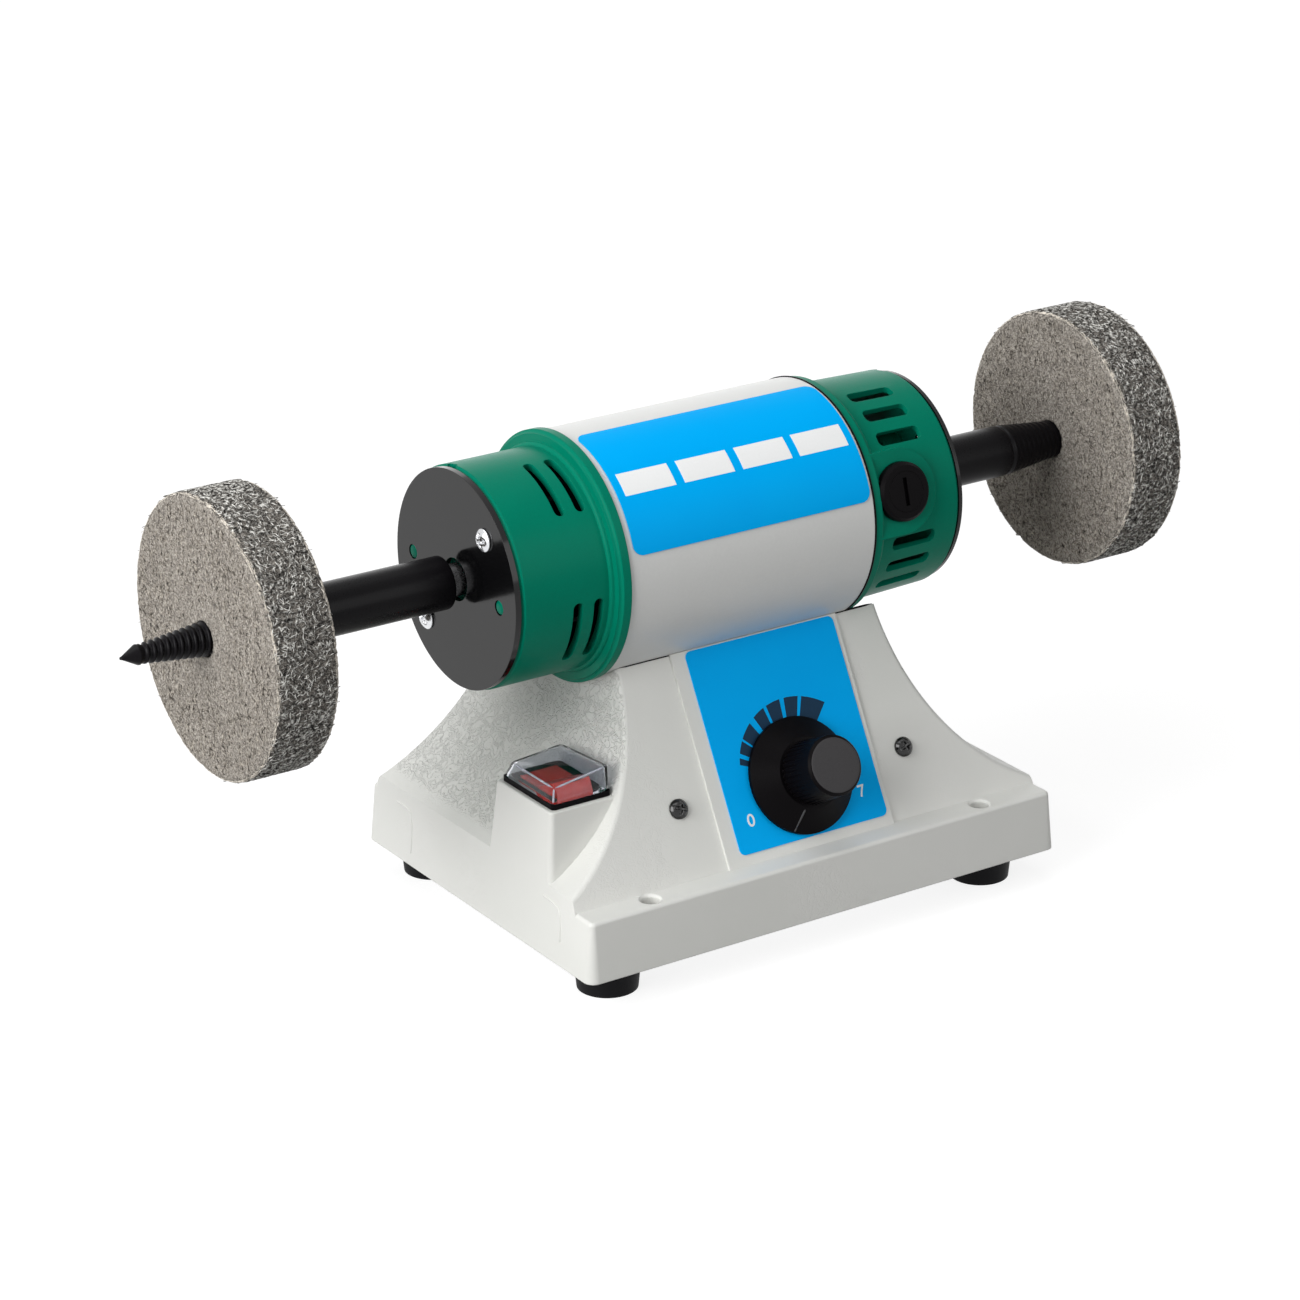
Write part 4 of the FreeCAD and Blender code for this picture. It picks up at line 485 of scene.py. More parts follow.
# Loose strands on the felt: counts, then least length and thickness with their spreads, in millimetres
STRAND_STEPS = 4
STRAND_BORE = 9.15 * MM
RIM_STRANDS, RIM_LENGTH, RIM_THICK = 4200, (1.8, 2.8), (0.10, 0.10)
FACE_STRANDS, FACE_LENGTH, FACE_THICK = 4200, (1.6, 2.4), (0.07, 0.08)
EDGE_STRANDS, EDGE_LENGTH, EDGE_THICK = 1500, (1.4, 2.2), (0.08, 0.08)


def strand_finish(name, stops):
    """Single fibres, each a little paler or darker than the next."""
    finish = Finish(name, Specular_IOR_Level=0.12, Roughness=0.9)
    finish.set("Base Color", finish.ramp(finish.grain(0.0014, 2.0), stops))
    finish.bump(finish.grain(0.0004), 0.00005)
    return finish.material


FACE_STRAND = strand_finish("face_strands", [(0.36, (0.035, 0.03, 0.026)), (0.46, (0.22, 0.195, 0.165)),
                                             (0.62, (0.60, 0.55, 0.48))])
RIM_STRAND = strand_finish("rim_strands", [(0.36, (0.02, 0.019, 0.018)), (0.47, (0.30, 0.29, 0.27)),
                                           (0.62, (0.88, 0.87, 0.83))])
EDGE_STRAND = strand_finish("edge_strands", [(0.30, (0.46, 0.42, 0.36)), (0.64, (0.90, 0.84, 0.76))])


def strands(name, centre, outward, along, length, thick, seed, material):
    """Fine curved fibres that lie on a surface, with their ends sunk in the felt."""
    count = len(centre)
    pick = np.random.default_rng(seed)
    across = np.cross(outward, along)
    bend = (pick.random(count) - 0.5) * 1.6
    points = []
    for step in np.linspace(-0.5, 0.5, STRAND_STEPS):
        arch = 1 - 4 * step * step
        middle = (centre + along * (length * step)[:, None] + across * (bend * length * step * step)[:, None]
                  + outward * (0.30 * arch - 0.32) * MM)
        for corner in range(3):
            a = FULL_TURN * corner / 3
            points.append(middle + (outward * math.cos(a) + across * math.sin(a)) * thick[:, None])
    grid = np.stack(points, axis=1)
    faces = []
    for number in range(count):
        base = number * STRAND_STEPS * 3
        faces.append((base, base + 2, base + 1))
        for step in range(STRAND_STEPS - 1):
            row = base + step * 3
            faces += [(row + c, row + (c + 1) % 3, row + 3 + (c + 1) % 3, row + 3 + c) for c in range(3)]
        last = base + (STRAND_STEPS - 1) * 3
        faces.append((last, last + 1, last + 2))
    new_piece(name, grid.reshape(-1, 3), faces, "wheel_fibre", "rotor", material)


def directions(angle):
    """Unit vectors out from the motor's axis, round it and along it."""
    none = np.zeros(len(angle))
    radial = np.stack([none, np.cos(angle), np.sin(angle)], axis=-1)
    around = np.stack([none, -np.sin(angle), np.cos(angle)], axis=-1)
    return radial, around, np.tile([1.0, 0.0, 0.0], (len(angle), 1))


def varied(pick, count, sizes):
    """Random sizes in metres, from the least up by a spread."""
    least, spread = sizes
    return (least + spread * pick.random(count)) * MM


def wheel_strands(side, seed, bore):
    """Pale curly fibres on the rim, finer ones on both faces and a fringe along both edges."""
    low, high, rim = wheel_place(side)
    pick = np.random.default_rng(seed)

    radial, around, axial = directions(pick.random(RIM_STRANDS) * FULL_TURN)
    centre = radial * rim + (0, 0, AXIS_Z)
    centre[:, 0] = low + 2 * MM + pick.random(RIM_STRANDS) * (high - low - 4 * MM)
    heading = pick.random(RIM_STRANDS)[:, None] * FULL_TURN
    length = varied(pick, RIM_STRANDS, RIM_LENGTH)
    thick = varied(pick, RIM_STRANDS, RIM_THICK)
    along = around * np.cos(heading) + axial * np.sin(heading)
    strands(f"{side}_rim_strands", centre, radial, along, length, thick, seed + 1, RIM_STRAND)

    radial, around, axial = directions(pick.random(FACE_STRANDS) * FULL_TURN)
    reach = bore + 2 * MM + np.sqrt(pick.random(FACE_STRANDS)) * (rim - bore - 5 * MM)
    outer = np.where(pick.random(FACE_STRANDS) < 0.5, 1.0, -1.0)[:, None]
    centre = radial * reach[:, None] + (0, 0, AXIS_Z)
    centre[:, 0] = np.where(outer[:, 0] > 0, high, low)
    heading = pick.random(FACE_STRANDS)[:, None] * FULL_TURN
    length = varied(pick, FACE_STRANDS, FACE_LENGTH)
    thick = varied(pick, FACE_STRANDS, FACE_THICK)
    along = around * np.cos(heading) + radial * np.sin(heading)
    strands(f"{side}_face_strands", centre, axial * outer, along, length, thick, seed + 2, FACE_STRAND)

    radial, around, axial = directions(pick.random(EDGE_STRANDS) * FULL_TURN)
    outer = np.where(pick.random(EDGE_STRANDS) < 0.5, 1.0, -1.0)[:, None]
    lean = (0.45 + 0.3 * pick.random(EDGE_STRANDS))[:, None] * math.pi / 2
    outward = radial * np.sin(lean) + axial * outer * np.cos(lean)
    centre = radial * (rim - WHEEL_ROUND) + (0, 0, AXIS_Z)
    centre[:, 0] = np.where(outer[:, 0] > 0, high - WHEEL_ROUND, low + WHEEL_ROUND)
    centre += outward * WHEEL_ROUND
    length = varied(pick, EDGE_STRANDS, EDGE_LENGTH)
    thick = varied(pick, EDGE_STRANDS, EDGE_THICK)
    strands(f"{side}_edge_strands", centre, outward, around, length, thick, seed + 3, EDGE_STRAND)


wheel_strands("left", 11, STRAND_BORE)
wheel_strands("right", 29, STRAND_BORE)


# Printed marks, a thin layer of ink over the labels
INK_SINK = 0.05 * MM
INK_RISE = 0.05 * MM
LABEL_LIFT = 1.4 * MM
MOTOR_LABEL_RADIUS = TUBE_RADIUS + 0.5 * MM


def on_panel(u, v, lift):
    """Point on the control panel's label, right and up from the knob's axis."""
    return KNOB + FACE_RIGHT * u + FACE_UP * v + FACE_OUT * (LABEL_LIFT + lift)


def on_motor(u, v, lift):
    """Point on the motor's label: place along the axis, and distance round from the front."""
    radius = MOTOR_LABEL_RADIUS + lift
    angle = v / MOTOR_LABEL_RADIUS
    return Vector((u, -radius * math.cos(angle), AXIS_Z + radius * math.sin(angle)))


def layer(name, outline, place, slot, body, material):
    """Thin closed plate over a flat outline."""
    count = len(outline)
    points = [place(u, v, INK_RISE) for u, v in outline] + [place(u, v, -INK_SINK) for u, v in outline]
    faces = [tuple(range(count)), tuple(range(2 * count - 1, count - 1, -1))]
    faces += [(i, i + count, (i + 1) % count + count, (i + 1) % count) for i in range(count)]
    return new_piece(name, points, faces, slot, body, material, smooth=False)


def stroke(name, path, width, closed, place, slot, body, material):
    """Thin closed line of even width along a path."""
    path = np.array(path, float)
    count = len(path)
    ahead = np.roll(path, -1, axis=0) - path
    behind = path - np.roll(path, 1, axis=0)
    if not closed:
        ahead[-1] = behind[-1]
        behind[0] = ahead[0]
    ahead /= np.linalg.norm(ahead, axis=1)[:, None]
    behind /= np.linalg.norm(behind, axis=1)[:, None]
    heading = ahead + behind
    heading /= np.linalg.norm(heading, axis=1)[:, None]
    left = np.stack([-heading[:, 1], heading[:, 0]], axis=-1)
    mitre = 1 / np.maximum(0.5, (heading * ahead).sum(axis=1))
    left = left * (mitre * width / 2)[:, None]
    points = []
    for centre, side in zip(path, left):
        for lift in (INK_RISE, -INK_SINK):
            points += [place(*(centre + side), lift), place(*(centre - side), lift)]
    faces = []
    for i in range(count if closed else count - 1):
        a, b = 4 * i, 4 * ((i + 1) % count)
        faces += [(a, a + 1, b + 1, b), (a + 2, b + 2, b + 3, a + 3),
                  (a, b, b + 2, a + 2), (a + 1, a + 3, b + 3, b + 1)]
    if not closed:
        last = 4 * (count - 1)
        faces += [(0, 2, 3, 1), (last, last + 1, last + 3, last + 2)]
    return new_piece(name, points, faces, slot, body, material, smooth=False)


WHITE_INK = speckled("white_ink", (0.93, 0.94, 0.94), 0.02, 0.0008, 0.5, edge=0.0, Specular_IOR_Level=0.1)
NAVY_INK = speckled("navy_ink", (0.010, 0.036, 0.075), 0.1, 0.0008, 0.5, edge=0.0, Specular_IOR_Level=0.08)
DIAL_CENTRE = (-1.3 * MM, 0.6 * MM)
DIAL_INNER = 19.5 * MM
DIAL_START, DIAL_END = 292, 402
DIAL_OUTER_START, DIAL_OUTER_END = 23.6 * MM, 31 * MM
DIAL_WEDGES = ((292, 298), (302, 313), (315, 330), (336, 348), (351, 364), (368, 380), (383, 402))


def dial_point(radius, clock):
    a = math.radians(clock)
    return DIAL_CENTRE[0] + radius * math.sin(a), DIAL_CENTRE[1] + radius * math.cos(a)


for number, (first, last) in enumerate(DIAL_WEDGES, start=1):
    outer = [dial_point(DIAL_OUTER_START + (DIAL_OUTER_END - DIAL_OUTER_START) * (clock - DIAL_START)
                        / (DIAL_END - DIAL_START), clock) for clock in np.linspace(last, first, 5)]
    inner = [dial_point(DIAL_INNER, clock) for clock in np.linspace(first, last, 5)]
    layer(f"dial_wedge_{number}", outer + inner, on_panel, "blue_label", "stand", NAVY_INK)

DIGIT_HALF_WIDTH = 1.2 * MM
DIGIT_HALF_HEIGHT = 2.0 * MM
DIGIT_STROKE = 0.75 * MM
ZERO_PLACE = (-25.0 * MM, -10.9 * MM)
SEVEN_PLACE = (24.3 * MM, -11.4 * MM)
zero = [(ZERO_PLACE[0] + DIGIT_HALF_WIDTH * math.cos(a), ZERO_PLACE[1] + DIGIT_HALF_HEIGHT * math.sin(a))
        for a in np.linspace(0, FULL_TURN, 24, endpoint=False)]
stroke("dial_zero", zero, DIGIT_STROKE, True, on_panel, "blue_label", "stand", WHITE_INK)
seven = [(SEVEN_PLACE[0] + u * DIGIT_HALF_WIDTH, SEVEN_PLACE[1] + v * DIGIT_HALF_HEIGHT)
         for u, v in ((-1.1, 0.9), (1.0, 0.9), (0.3, 0.0), (-0.35, -1.1))]
stroke("dial_seven", seven, DIGIT_STROKE, False, on_panel, "blue_label", "stand", WHITE_INK)

# Four blank write-on boxes on the motor's label
BOX_STARTS = (-38.0 * MM, -12.7 * MM, 12.6 * MM, 37.6 * MM)
BOX_WIDTH = 21.6 * MM
BOX_LOW, BOX_HIGH = (math.radians(a) for a in (42.4, 53.8))
for number, start in enumerate(BOX_STARTS, start=1):
    path = [(start + BOX_WIDTH / 2, a * MOTOR_LABEL_RADIUS) for a in np.linspace(BOX_LOW, BOX_HIGH, 7)]
    stroke(f"blank_box_{number}", path, BOX_WIDTH, False, on_motor, "blue_label", "stand", WHITE_INK)


# Cross-recessed screws
SCREW_COLUMNS = 64
SCREW_RINGS = 26
# Shares of the head's radius or height: the dome's fall, and the recess's arm, reach and depth
DOME_FALL, DOME_POWER = 0.72, 2.4
RECESS_ARM, RECESS_REACH, RECESS_DEPTH = 0.15, 0.62, 0.42


def grouped(name, reach):
    """Points of each separate solid of a node, gathered by distance."""
    node = frame["nodes"][name]
    points = [node.matrix_world @ vertex.co for vertex in node.data.vertices]
    groups = []
    while points:
        first = points[0]
        groups.append([p for p in points if (p - first).length < reach])
        points = [p for p in points if (p - first).length >= reach]
    return groups


def screws(node, outward, head_height, shank, slot, reach, twist):
    """Pan-head screws with a real cross recess, in place of a node's plain ones."""
    outward = Vector(outward).normalized()
    first = outward.orthogonal().normalized()
    second = outward.cross(first)
    points, faces = [], []
    for group_number, group in enumerate(grouped(node, reach)):
        ahead = [p.dot(outward) for p in group]
        right = [p.dot(first) for p in group]
        upper = [p.dot(second) for p in group]
        centre = first * (min(right) + max(right)) / 2 + second * (min(upper) + max(upper)) / 2
        top, bottom = max(ahead), min(ahead)
        head = (max(right) - min(right)) / 2
        seat = top - head_height
        rows = [(head * s, seat + head_height * (1 - DOME_FALL * s ** DOME_POWER))
                for s in np.linspace(0.04, 1, SCREW_RINGS)]
        dome = len(rows)
        rows += [(head, seat), (shank, seat), (shank, bottom)]
        base = len(points)
        spin = twist + 0.7 * group_number
        points.append(centre + outward * (top - RECESS_DEPTH * head))
        for number, (radius, height) in enumerate(rows):
            for column in range(SCREW_COLUMNS):
                a = FULL_TURN * column / SCREW_COLUMNS
                u, v = abs(radius * math.cos(a - spin)), abs(radius * math.sin(a - spin))
                arm, reach_out = RECESS_ARM * head, RECESS_REACH * head
                off = min(max(u / arm, v / reach_out), max(v / arm, u / reach_out))
                sunk = min(1.0, max(0.0, (1.25 - off) / 0.5)) if number < dome else 0.0
                drop = RECESS_DEPTH * head * sunk * (1 - 0.55 * min(1.0, radius / reach_out))
                points.append(centre + first * radius * math.cos(a) + second * radius * math.sin(a)
                              + outward * (height - drop))
        points.append(centre + outward * bottom)
        faces += [tuple(base + i for i in face) for face in round_grid(len(rows), SCREW_COLUMNS, True, True)]
    piece = new_piece(node + "_crossed", points, [face[::-1] for face in faces], slot, "stand")
    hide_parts(node)


screws("left_plate_screws", (-1, 0, 0), 2.6 * MM, 2.0 * MM, "zinc_steel", 0.02, 0.3)
screws("right_plate_screws", (1, 0, 0), 2.6 * MM, 2.0 * MM, "zinc_steel", 0.02, 0.5)
screws("panel_screws", FACE_OUT, 2.8 * MM, 2.0 * MM, "black_screw", 0.04, 0.4)
screws("foot_screws", (0, 0, -1), 3.5 * MM, 2.5 * MM, "zinc_steel", 0.04, 0.2)


# Thin trim, and thin black beads that paint the shade in gaps
CORD_SIDES = 8


def cord(name, path, radius, closed, slot, body, material=None):
    """Thin round bead along a path, tapered at free ends."""
    path = [Vector(p) for p in path]
    count = len(path)
    points, faces = [], []
    side = None
    for i, centre in enumerate(path):
        before = path[i - 1] if closed or i else path[0]
        after = path[(i + 1) % count] if closed or i < count - 1 else path[-1]
        heading = (after - before).normalized()
        side = heading.orthogonal() if side is None else side - heading * side.dot(heading)
        side.normalize()
        other = heading.cross(side)
        thick = radius if closed or 0 < i < count - 1 else radius * 0.2
        for corner in range(CORD_SIDES):
            a = FULL_TURN * corner / CORD_SIDES
            points.append(centre + (side * math.cos(a) + other * math.sin(a)) * thick)
    for i in range(count if closed else count - 1):
        a, b = i * CORD_SIDES, (i + 1) % count * CORD_SIDES
        faces += [(a + c, a + (c + 1) % CORD_SIDES, b + (c + 1) % CORD_SIDES, b + c)
                  for c in range(CORD_SIDES)]
    if not closed:
        last = (count - 1) * CORD_SIDES
        faces += [tuple(range(CORD_SIDES - 1, -1, -1)), tuple(range(last, last + CORD_SIDES))]
    return new_piece(name, points, faces, slot, body, material)


def smooth_path(corners, steps):
    """Curve through corners, with even steps between them."""
    corners = [Vector(c) for c in corners]
    ends = [corners[0]] + corners + [corners[-1]]
    path = []
    for a, b, c, d in zip(ends, ends[1:], ends[2:], ends[3:]):
        for t in np.linspace(0, 1, steps, endpoint=False):
            path.append(0.5 * (2 * b + (c - a) * t + (2 * a - 5 * b + 4 * c - d) * t * t
                               + (3 * b - a - 3 * c + d) * t * t * t))
    return path + [corners[-1]]


END_LEAN = math.tan(math.radians(5))
RIB_RADIUS = 0.55 * MM
RIBS = {
    "rear": ((58.5, 34.4), (53.4, 34.6), (48.3, 33.4), (46.5, 28.4), (46.2, 17.6)),
    "front": ((-44.1, 35.2), (-50.0, 35.0), (-55.0, 33.3), (-56.6, 28.0), (-57.0, 21.8)),
}
for rib_name, marks in RIBS.items():
    path = [(stand_low.x + (z * MM - stand_low.z) * END_LEAN + 0.15 * MM, y * MM, z * MM) for y, z in marks]
    cord(f"end_rib_{rib_name}", smooth_path(path, 6), RIB_RADIUS, False, "casting_paint", "stand")

# Painted shade: a thin black bead in the gap between the tube and the right cap, standing for the shade in that
# gap
GAP_SHADE_RADIUS = 0.45 * MM
GAP_SHADE_CIRCLE = TUBE_RADIUS - 0.05 * MM
ring = [(tube_high.x, -GAP_SHADE_CIRCLE * math.cos(a), AXIS_Z + GAP_SHADE_CIRCLE * math.sin(a))
        for a in np.linspace(0, FULL_TURN, 160, endpoint=False)]
cord("right_cap_gap_shade", ring, GAP_SHADE_RADIUS, True, "black_plastic", "stand")
# Painted shade: a thin black bead along the line where the tube sits in the saddle, standing for the shade in that
# gap
axis_from_knob = Vector((0, 0, AXIS_Z)) - Vector((0, KNOB.y, KNOB.z))
axis_out = axis_from_knob.dot(FACE_OUT)
contact = axis_from_knob.dot(FACE_UP) - math.sqrt(TUBE_RADIUS ** 2 - axis_out ** 2)
contact_line = Vector((0, KNOB.y, KNOB.z)) + FACE_UP * contact
saddle_shade_path = [contact_line + FACE_RIGHT * (STAND_X + x * MM) for x in np.linspace(-58.5, 54.5, 40)]
cord("saddle_gap_shade", saddle_shade_path, 0.4 * MM, False, "black_plastic", "stand")


# Knob: end disc and pointer
KNOB_BASE = 2.0 * MM
KNOB_HEIGHT = 25.2 * MM
DISC_RADIUS = 10.2 * MM
DISC_RISE = 0.25 * MM
DISC_COLUMNS = 72
disc_finish = speckled("knob_disc", (0.045, 0.043, 0.045), 0.1, 0.0006, 0.45, 0.05, 0.00002, edge=0.0002,
                       Specular_IOR_Level=0.14)
knob_end = KNOB + FACE_OUT * (KNOB_BASE + KNOB_HEIGHT)
disc_rows = [(DISC_RADIUS * s, DISC_RISE * (1 - 0.35 * s * s))
             for s in (0.15, 0.3, 0.45, 0.6, 0.75, 0.9, 0.97)]
disc_rows += [(DISC_RADIUS, DISC_RISE * 0.4), (DISC_RADIUS, -0.2 * MM)]
points = [knob_end + FACE_OUT * DISC_RISE]
for radius, rise in disc_rows:
    for column in range(DISC_COLUMNS):
        a = FULL_TURN * column / DISC_COLUMNS
        points.append(knob_end + FACE_RIGHT * radius * math.cos(a) + FACE_UP * radius * math.sin(a)
                      + FACE_OUT * rise)
points.append(knob_end - FACE_OUT * 0.2 * MM)
faces = round_grid(len(disc_rows), DISC_COLUMNS, True, True)
new_piece("knob_end_disc", points, [face[::-1] for face in faces], "black_plastic", "knob", disc_finish)

POINTER_CLOCK = math.radians(207)
pointer = []
for radius, rise in ((21.6, 1.75), (20.0, 2.65), (18.0, 4.3), (16.0, 5.9), (14.0, 7.5)):
    pointer.append(KNOB + FACE_RIGHT * radius * MM * math.sin(POINTER_CLOCK)
                   + FACE_UP * radius * MM * math.cos(POINTER_CLOCK) + FACE_OUT * (KNOB_BASE + rise * MM))
pointer_finish = speckled("knob_pointer", (0.05, 0.05, 0.052), 0.1, 0.0006, 0.4, 0.05, 0.00002, edge=0.0,
                          Specular_IOR_Level=0.2)
cord("knob_pointer", smooth_path(pointer, 4), 0.4 * MM, False, "black_plastic", "knob", pointer_finish)

# Green pegs of the end caps in the plates' round holes
PEG_COLUMNS = 32
PEG_CIRCLE = 29.3 * MM
PEG_TURN = math.radians(-3)
PEG_ROWS = ((-2.2, 2.6), (-0.6, 2.6), (-0.25, 2.35), (-0.08, 1.6))


def pegs(side, sign):
    """Two domed pegs just below a plate's outer face."""
    low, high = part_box(f"{side}_end_plate")
    outer = high.x if sign > 0 else low.x
    points, faces = [], []
    for half_turn in (0, math.pi):
        y = -PEG_CIRCLE * math.cos(PEG_TURN + half_turn)
        z = AXIS_Z + PEG_CIRCLE * math.sin(PEG_TURN + half_turn)
        base = len(points)
        points.append((outer + sign * PEG_ROWS[0][0] * MM, y, z))
        for depth, radius in PEG_ROWS:
            for a in np.linspace(0, FULL_TURN, PEG_COLUMNS, endpoint=False):
                points.append((outer + sign * depth * MM, y + radius * MM * math.cos(a),
                               z + radius * MM * math.sin(a)))
        points.append((outer, y, z))
        rows = round_grid(len(PEG_ROWS), PEG_COLUMNS, True, True)
        faces += [tuple(base + i for i in (face if sign > 0 else face[::-1])) for face in rows]
    new_piece(f"{side}_plate_pegs", points, faces, "green_plastic", "stand")


pegs("left", -1)
pegs("right", 1)

# Clear boot over the rocker: upright at the front left, leaning in and higher to the right
BOOT_WALL = 0.8 * MM
BOOT_CORNER = 0.07
BOOT_CORNER_STEPS = 5
BOOT_EDGE_STEPS = 8
# Lean and rise of each top corner in millimetres, by right and rear side
BOOT_RISE = {(0, 0): (0.6, 0.3, 6.1), (1, 0): (-0.4, 0.3, 9.8),
             (0, 1): (0.0, -5.0, 6.8), (1, 1): (-0.4, -1.6, 7.2)}
BOOT_ROWS = ((0.0, 1.0), (0.35, 1.0), (0.7, 1.0), (0.93, 1.0), (0.98, 0.985), (1.0, 0.95), (1.0, 0.75),
             (1.0, 0.5), (1.0, 0.25))
BOOT_EDGES = {
    "left": ((0, 1, 1), (0, 0, 1)),
    "front": ((0, 0, 1), (1, 0, 1)),
    "corner": ((0, 0, 0.06), (0, 0, 1)),
}
boot_low, boot_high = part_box("splash_cover")


def boot_point(u, v, height, inset):
    """Point of the boot at shares of its width, depth and height, moved in by a wall's thickness."""
    x = boot_low.x + inset + u * (boot_high.x - boot_low.x - 2 * inset)
    y = boot_low.y + inset + v * (boot_high.y - boot_low.y - 2 * inset)
    lean = Vector((0, 0, 0))
    for (right_side, rear_side), rise in BOOT_RISE.items():
        share = (u if right_side else 1 - u) * (v if rear_side else 1 - v)
        lean += Vector(rise) * MM * share
    return Vector((x, y, boot_low.z)) + lean * height - Vector((0, 0, inset * height))


def boot_outline():
    """Rounded square from 0 to 1, counter-clockwise."""
    outline = []
    for quarter, (cu, cv) in enumerate(((1, 1), (0, 1), (0, 0), (1, 0))):
        centre_u = cu - BOOT_CORNER if cu else BOOT_CORNER
        centre_v = cv - BOOT_CORNER if cv else BOOT_CORNER
        for a in np.linspace(0, math.pi / 2, BOOT_CORNER_STEPS):
            turn = a + quarter * math.pi / 2
            outline.append((centre_u + BOOT_CORNER * math.cos(turn), centre_v + BOOT_CORNER * math.sin(turn)))
        u, v = outline[-1]
        step = (1 - 2 * BOOT_CORNER) / BOOT_EDGE_STEPS
        heading = ((-1, 0), (0, -1), (1, 0), (0, 1))[quarter]
        outline += [(u + heading[0] * step * i, v + heading[1] * step * i) for i in range(1, BOOT_EDGE_STEPS)]
    return outline


outline = boot_outline()
points, faces = [], []
for inset in (0.0, BOOT_WALL):
    base = len(points)
    for height, share in BOOT_ROWS:
        points += [boot_point(0.5 + (u - 0.5) * share, 0.5 + (v - 0.5) * share, height, inset)
                   for u, v in outline]
    points.append(boot_point(0.5, 0.5, 1.0, inset))
    shell = round_grid(len(BOOT_ROWS), len(outline), False, True)
    faces += [tuple(base + i for i in (face[::-1] if inset else face)) for face in shell]
    inner_base = base
faces += [(j, inner_base + j, inner_base + (j + 1) % len(outline), (j + 1) % len(outline))
          for j in range(len(outline))]
boot = new_piece("clear_boot", points, faces, "clear_plastic", "stand")
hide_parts("splash_cover")
boot_edge = Finish("boot_edge", Transmission_Weight=0.35, IOR=1.46, Specular_IOR_Level=0.4)
boot_edge.set("Base Color", boot_edge.ramp(boot_edge.grain(0.004), [(0.3, (0.62, 0.62, 0.70)),
                                                                    (0.7, (0.80, 0.80, 0.88))]))
boot_edge.set("Roughness", boot_edge.span(boot_edge.grain(0.003), 0.3, 0.7, 0.15, 0.3))
for edge_name, ends in BOOT_EDGES.items():
    (u0, v0, h0), (u1, v1, h1) = ends
    path = []
    for t in np.linspace(0.03, 0.97, 12):
        u, v, h = u0 + (u1 - u0) * t, v0 + (v1 - v0) * t, h0 + (h1 - h0) * t
        path.append(boot_point(0.02 + 0.96 * u, 0.02 + 0.96 * v, 0.985 * h, 0.25 * MM))
    cord(f"boot_edge_{edge_name}", path, 0.35 * MM, False, "clear_plastic", "stand", boot_edge.material)

# Camera at the photograph's viewing angle
AZIMUTH, ELEVATION, ROLL = (math.radians(a) for a in (-33.61, 21.86, -0.33))
DISTANCE = 1.5655
TARGET = Vector((STAND_X - 0.027, 0, 0.09775))
LENS = 117.44
back = Vector((math.sin(AZIMUTH) * math.cos(ELEVATION), -math.cos(AZIMUTH) * math.cos(ELEVATION),
               math.sin(ELEVATION)))
level = Vector((math.cos(AZIMUTH), math.sin(AZIMUTH), 0))
upward = back.cross(level)
right = level * math.cos(ROLL) + upward * math.sin(ROLL)
up = upward * math.cos(ROLL) - level * math.sin(ROLL)
camera_data = bpy.data.cameras.new("camera")
camera_data.lens = LENS
camera_data.sensor_width = 36
camera_data.clip_end = 20
camera = bpy.data.objects.new("camera", camera_data)
camera_turn = Matrix((right, up, back)).transposed().to_4x4()
camera.matrix_world = Matrix.Translation(TARGET + back * DISTANCE) @ camera_turn
bpy.context.scene.collection.objects.link(camera)
bpy.context.scene.camera = camera


def seen_ray(tree):
    """One for rays from the camera, or by way of gloss or glass."""
    path = tree.nodes.new("ShaderNodeLightPath")
    total = path.outputs["Is Camera Ray"]
    for kind in ("Is Glossy Ray", "Is Transmission Ray"):
        node = tree.nodes.new("ShaderNodeMath")
        node.operation = "MAXIMUM"
        tree.links.new(total, node.inputs[0])
        tree.links.new(path.outputs[kind], node.inputs[1])
        total = node.outputs[0]
    return total


# Studio: white surround, pale floor and soft lamps
AMBIENT = 0.13
FLOOR_REACH = 6.0
FLOOR_GLOW = (0.5, 2.5, 0.82, 0.97)
LAMP_AIM = (0, 0, 0.1)
LAMP_SIZE = 1.0
world = bpy.data.worlds.new("studio")
bpy.context.scene.world = world
world.use_nodes = True
surround = world.node_tree
ambient = surround.nodes["Background"]
ambient.inputs["Color"].default_value = (1, 1, 1, 1)
ambient.inputs["Strength"].default_value = AMBIENT
white = surround.nodes.new("ShaderNodeBackground")
white.inputs["Color"].default_value = (1, 1, 1, 1)
white.inputs["Strength"].default_value = 1.0
choice = surround.nodes.new("ShaderNodeMixShader")
surround.links.new(seen_ray(surround), choice.inputs["Fac"])
surround.links.new(ambient.outputs["Background"], choice.inputs[1])
surround.links.new(white.outputs["Background"], choice.inputs[2])
surround.links.new(choice.outputs["Shader"], surround.nodes["World Output"].inputs["Surface"])

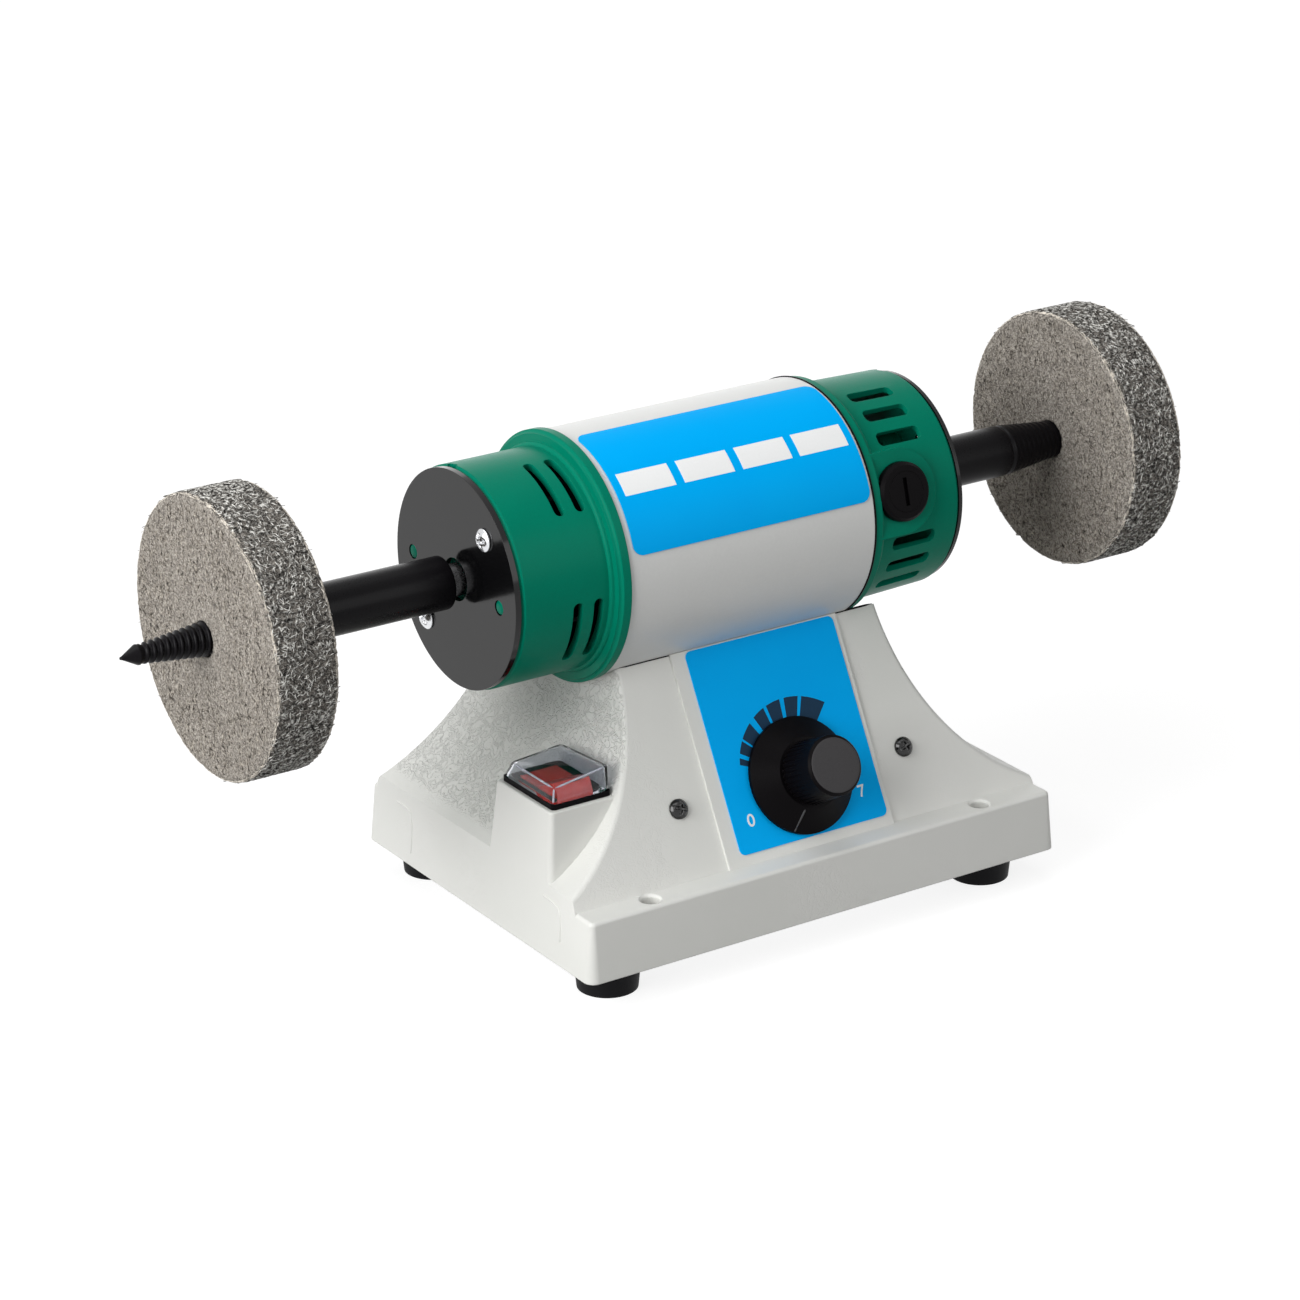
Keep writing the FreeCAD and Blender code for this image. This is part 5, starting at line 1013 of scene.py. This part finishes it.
floor_mesh = bpy.data.meshes.new("studio_floor")
floor_mesh.from_pydata([(-FLOOR_REACH, -FLOOR_REACH, 0), (FLOOR_REACH, -FLOOR_REACH, 0),
                        (FLOOR_REACH, FLOOR_REACH, 0), (-FLOOR_REACH, FLOOR_REACH, 0)], [], [(0, 1, 2, 3)])
floor = bpy.data.objects.new("studio_floor", floor_mesh)
bpy.context.scene.collection.objects.link(floor)
floor_finish = Finish("pale_floor", Roughness=1.0, Specular_IOR_Level=0.0)
floor_finish.set("Base Color", floor_finish.ramp(floor_finish.grain(0.4), [(0.3, (0.31, 0.31, 0.31)),
                                                                           (0.7, (0.33, 0.33, 0.33))]))
floor_tree = floor_finish.tree
glow = floor_tree.nodes.new("ShaderNodeEmission")
glow_level = floor_tree.nodes.new("ShaderNodeMath")
glow_level.operation = "MULTIPLY"
reach = floor_finish.node("VectorMath", {0: floor_finish.place}, operation="LENGTH").outputs["Value"]
floor_finish.feed(glow_level.inputs[1], floor_finish.span(reach, *FLOOR_GLOW))
plain = floor_tree.nodes.new("ShaderNodeAddShader")
floor_tree.links.new(seen_ray(floor_tree), glow_level.inputs[0])
floor_tree.links.new(glow_level.outputs[0], glow.inputs["Strength"])
floor_tree.links.new(floor_finish.shader.outputs["BSDF"], plain.inputs[0])
floor_tree.links.new(glow.outputs["Emission"], plain.inputs[1])
floor_tree.links.new(plain.outputs["Shader"], floor_tree.nodes["Material Output"].inputs["Surface"])
floor_mesh.materials.append(floor_finish.material)


def lamp(name, place, aim, size, power):
    """Square soft lamp that faces a point."""
    data = bpy.data.lights.new(name, "AREA")
    data.size = size
    data.energy = power
    thing = bpy.data.objects.new(name, data)
    direction = Vector(place) - Vector(aim)
    thing.matrix_world = Matrix.Translation(place) @ direction.to_track_quat("Z", "Y").to_matrix().to_4x4()
    bpy.context.scene.collection.objects.link(thing)


lamp("key_lamp", (-1.25, -0.26, 0.66), LAMP_AIM, LAMP_SIZE, 20.5)
lamp("top_lamp", (-0.2, 0.25, 1.3), LAMP_AIM, LAMP_SIZE, 6.4)
lamp("back_lamp", (0.75, 1.1, 0.5), LAMP_AIM, LAMP_SIZE, 2.4)
lamp("front_lamp", (0.5, -1.3, 0.8), LAMP_AIM, LAMP_SIZE, 5.2)
bpy.context.scene.view_settings.view_transform = "Standard"
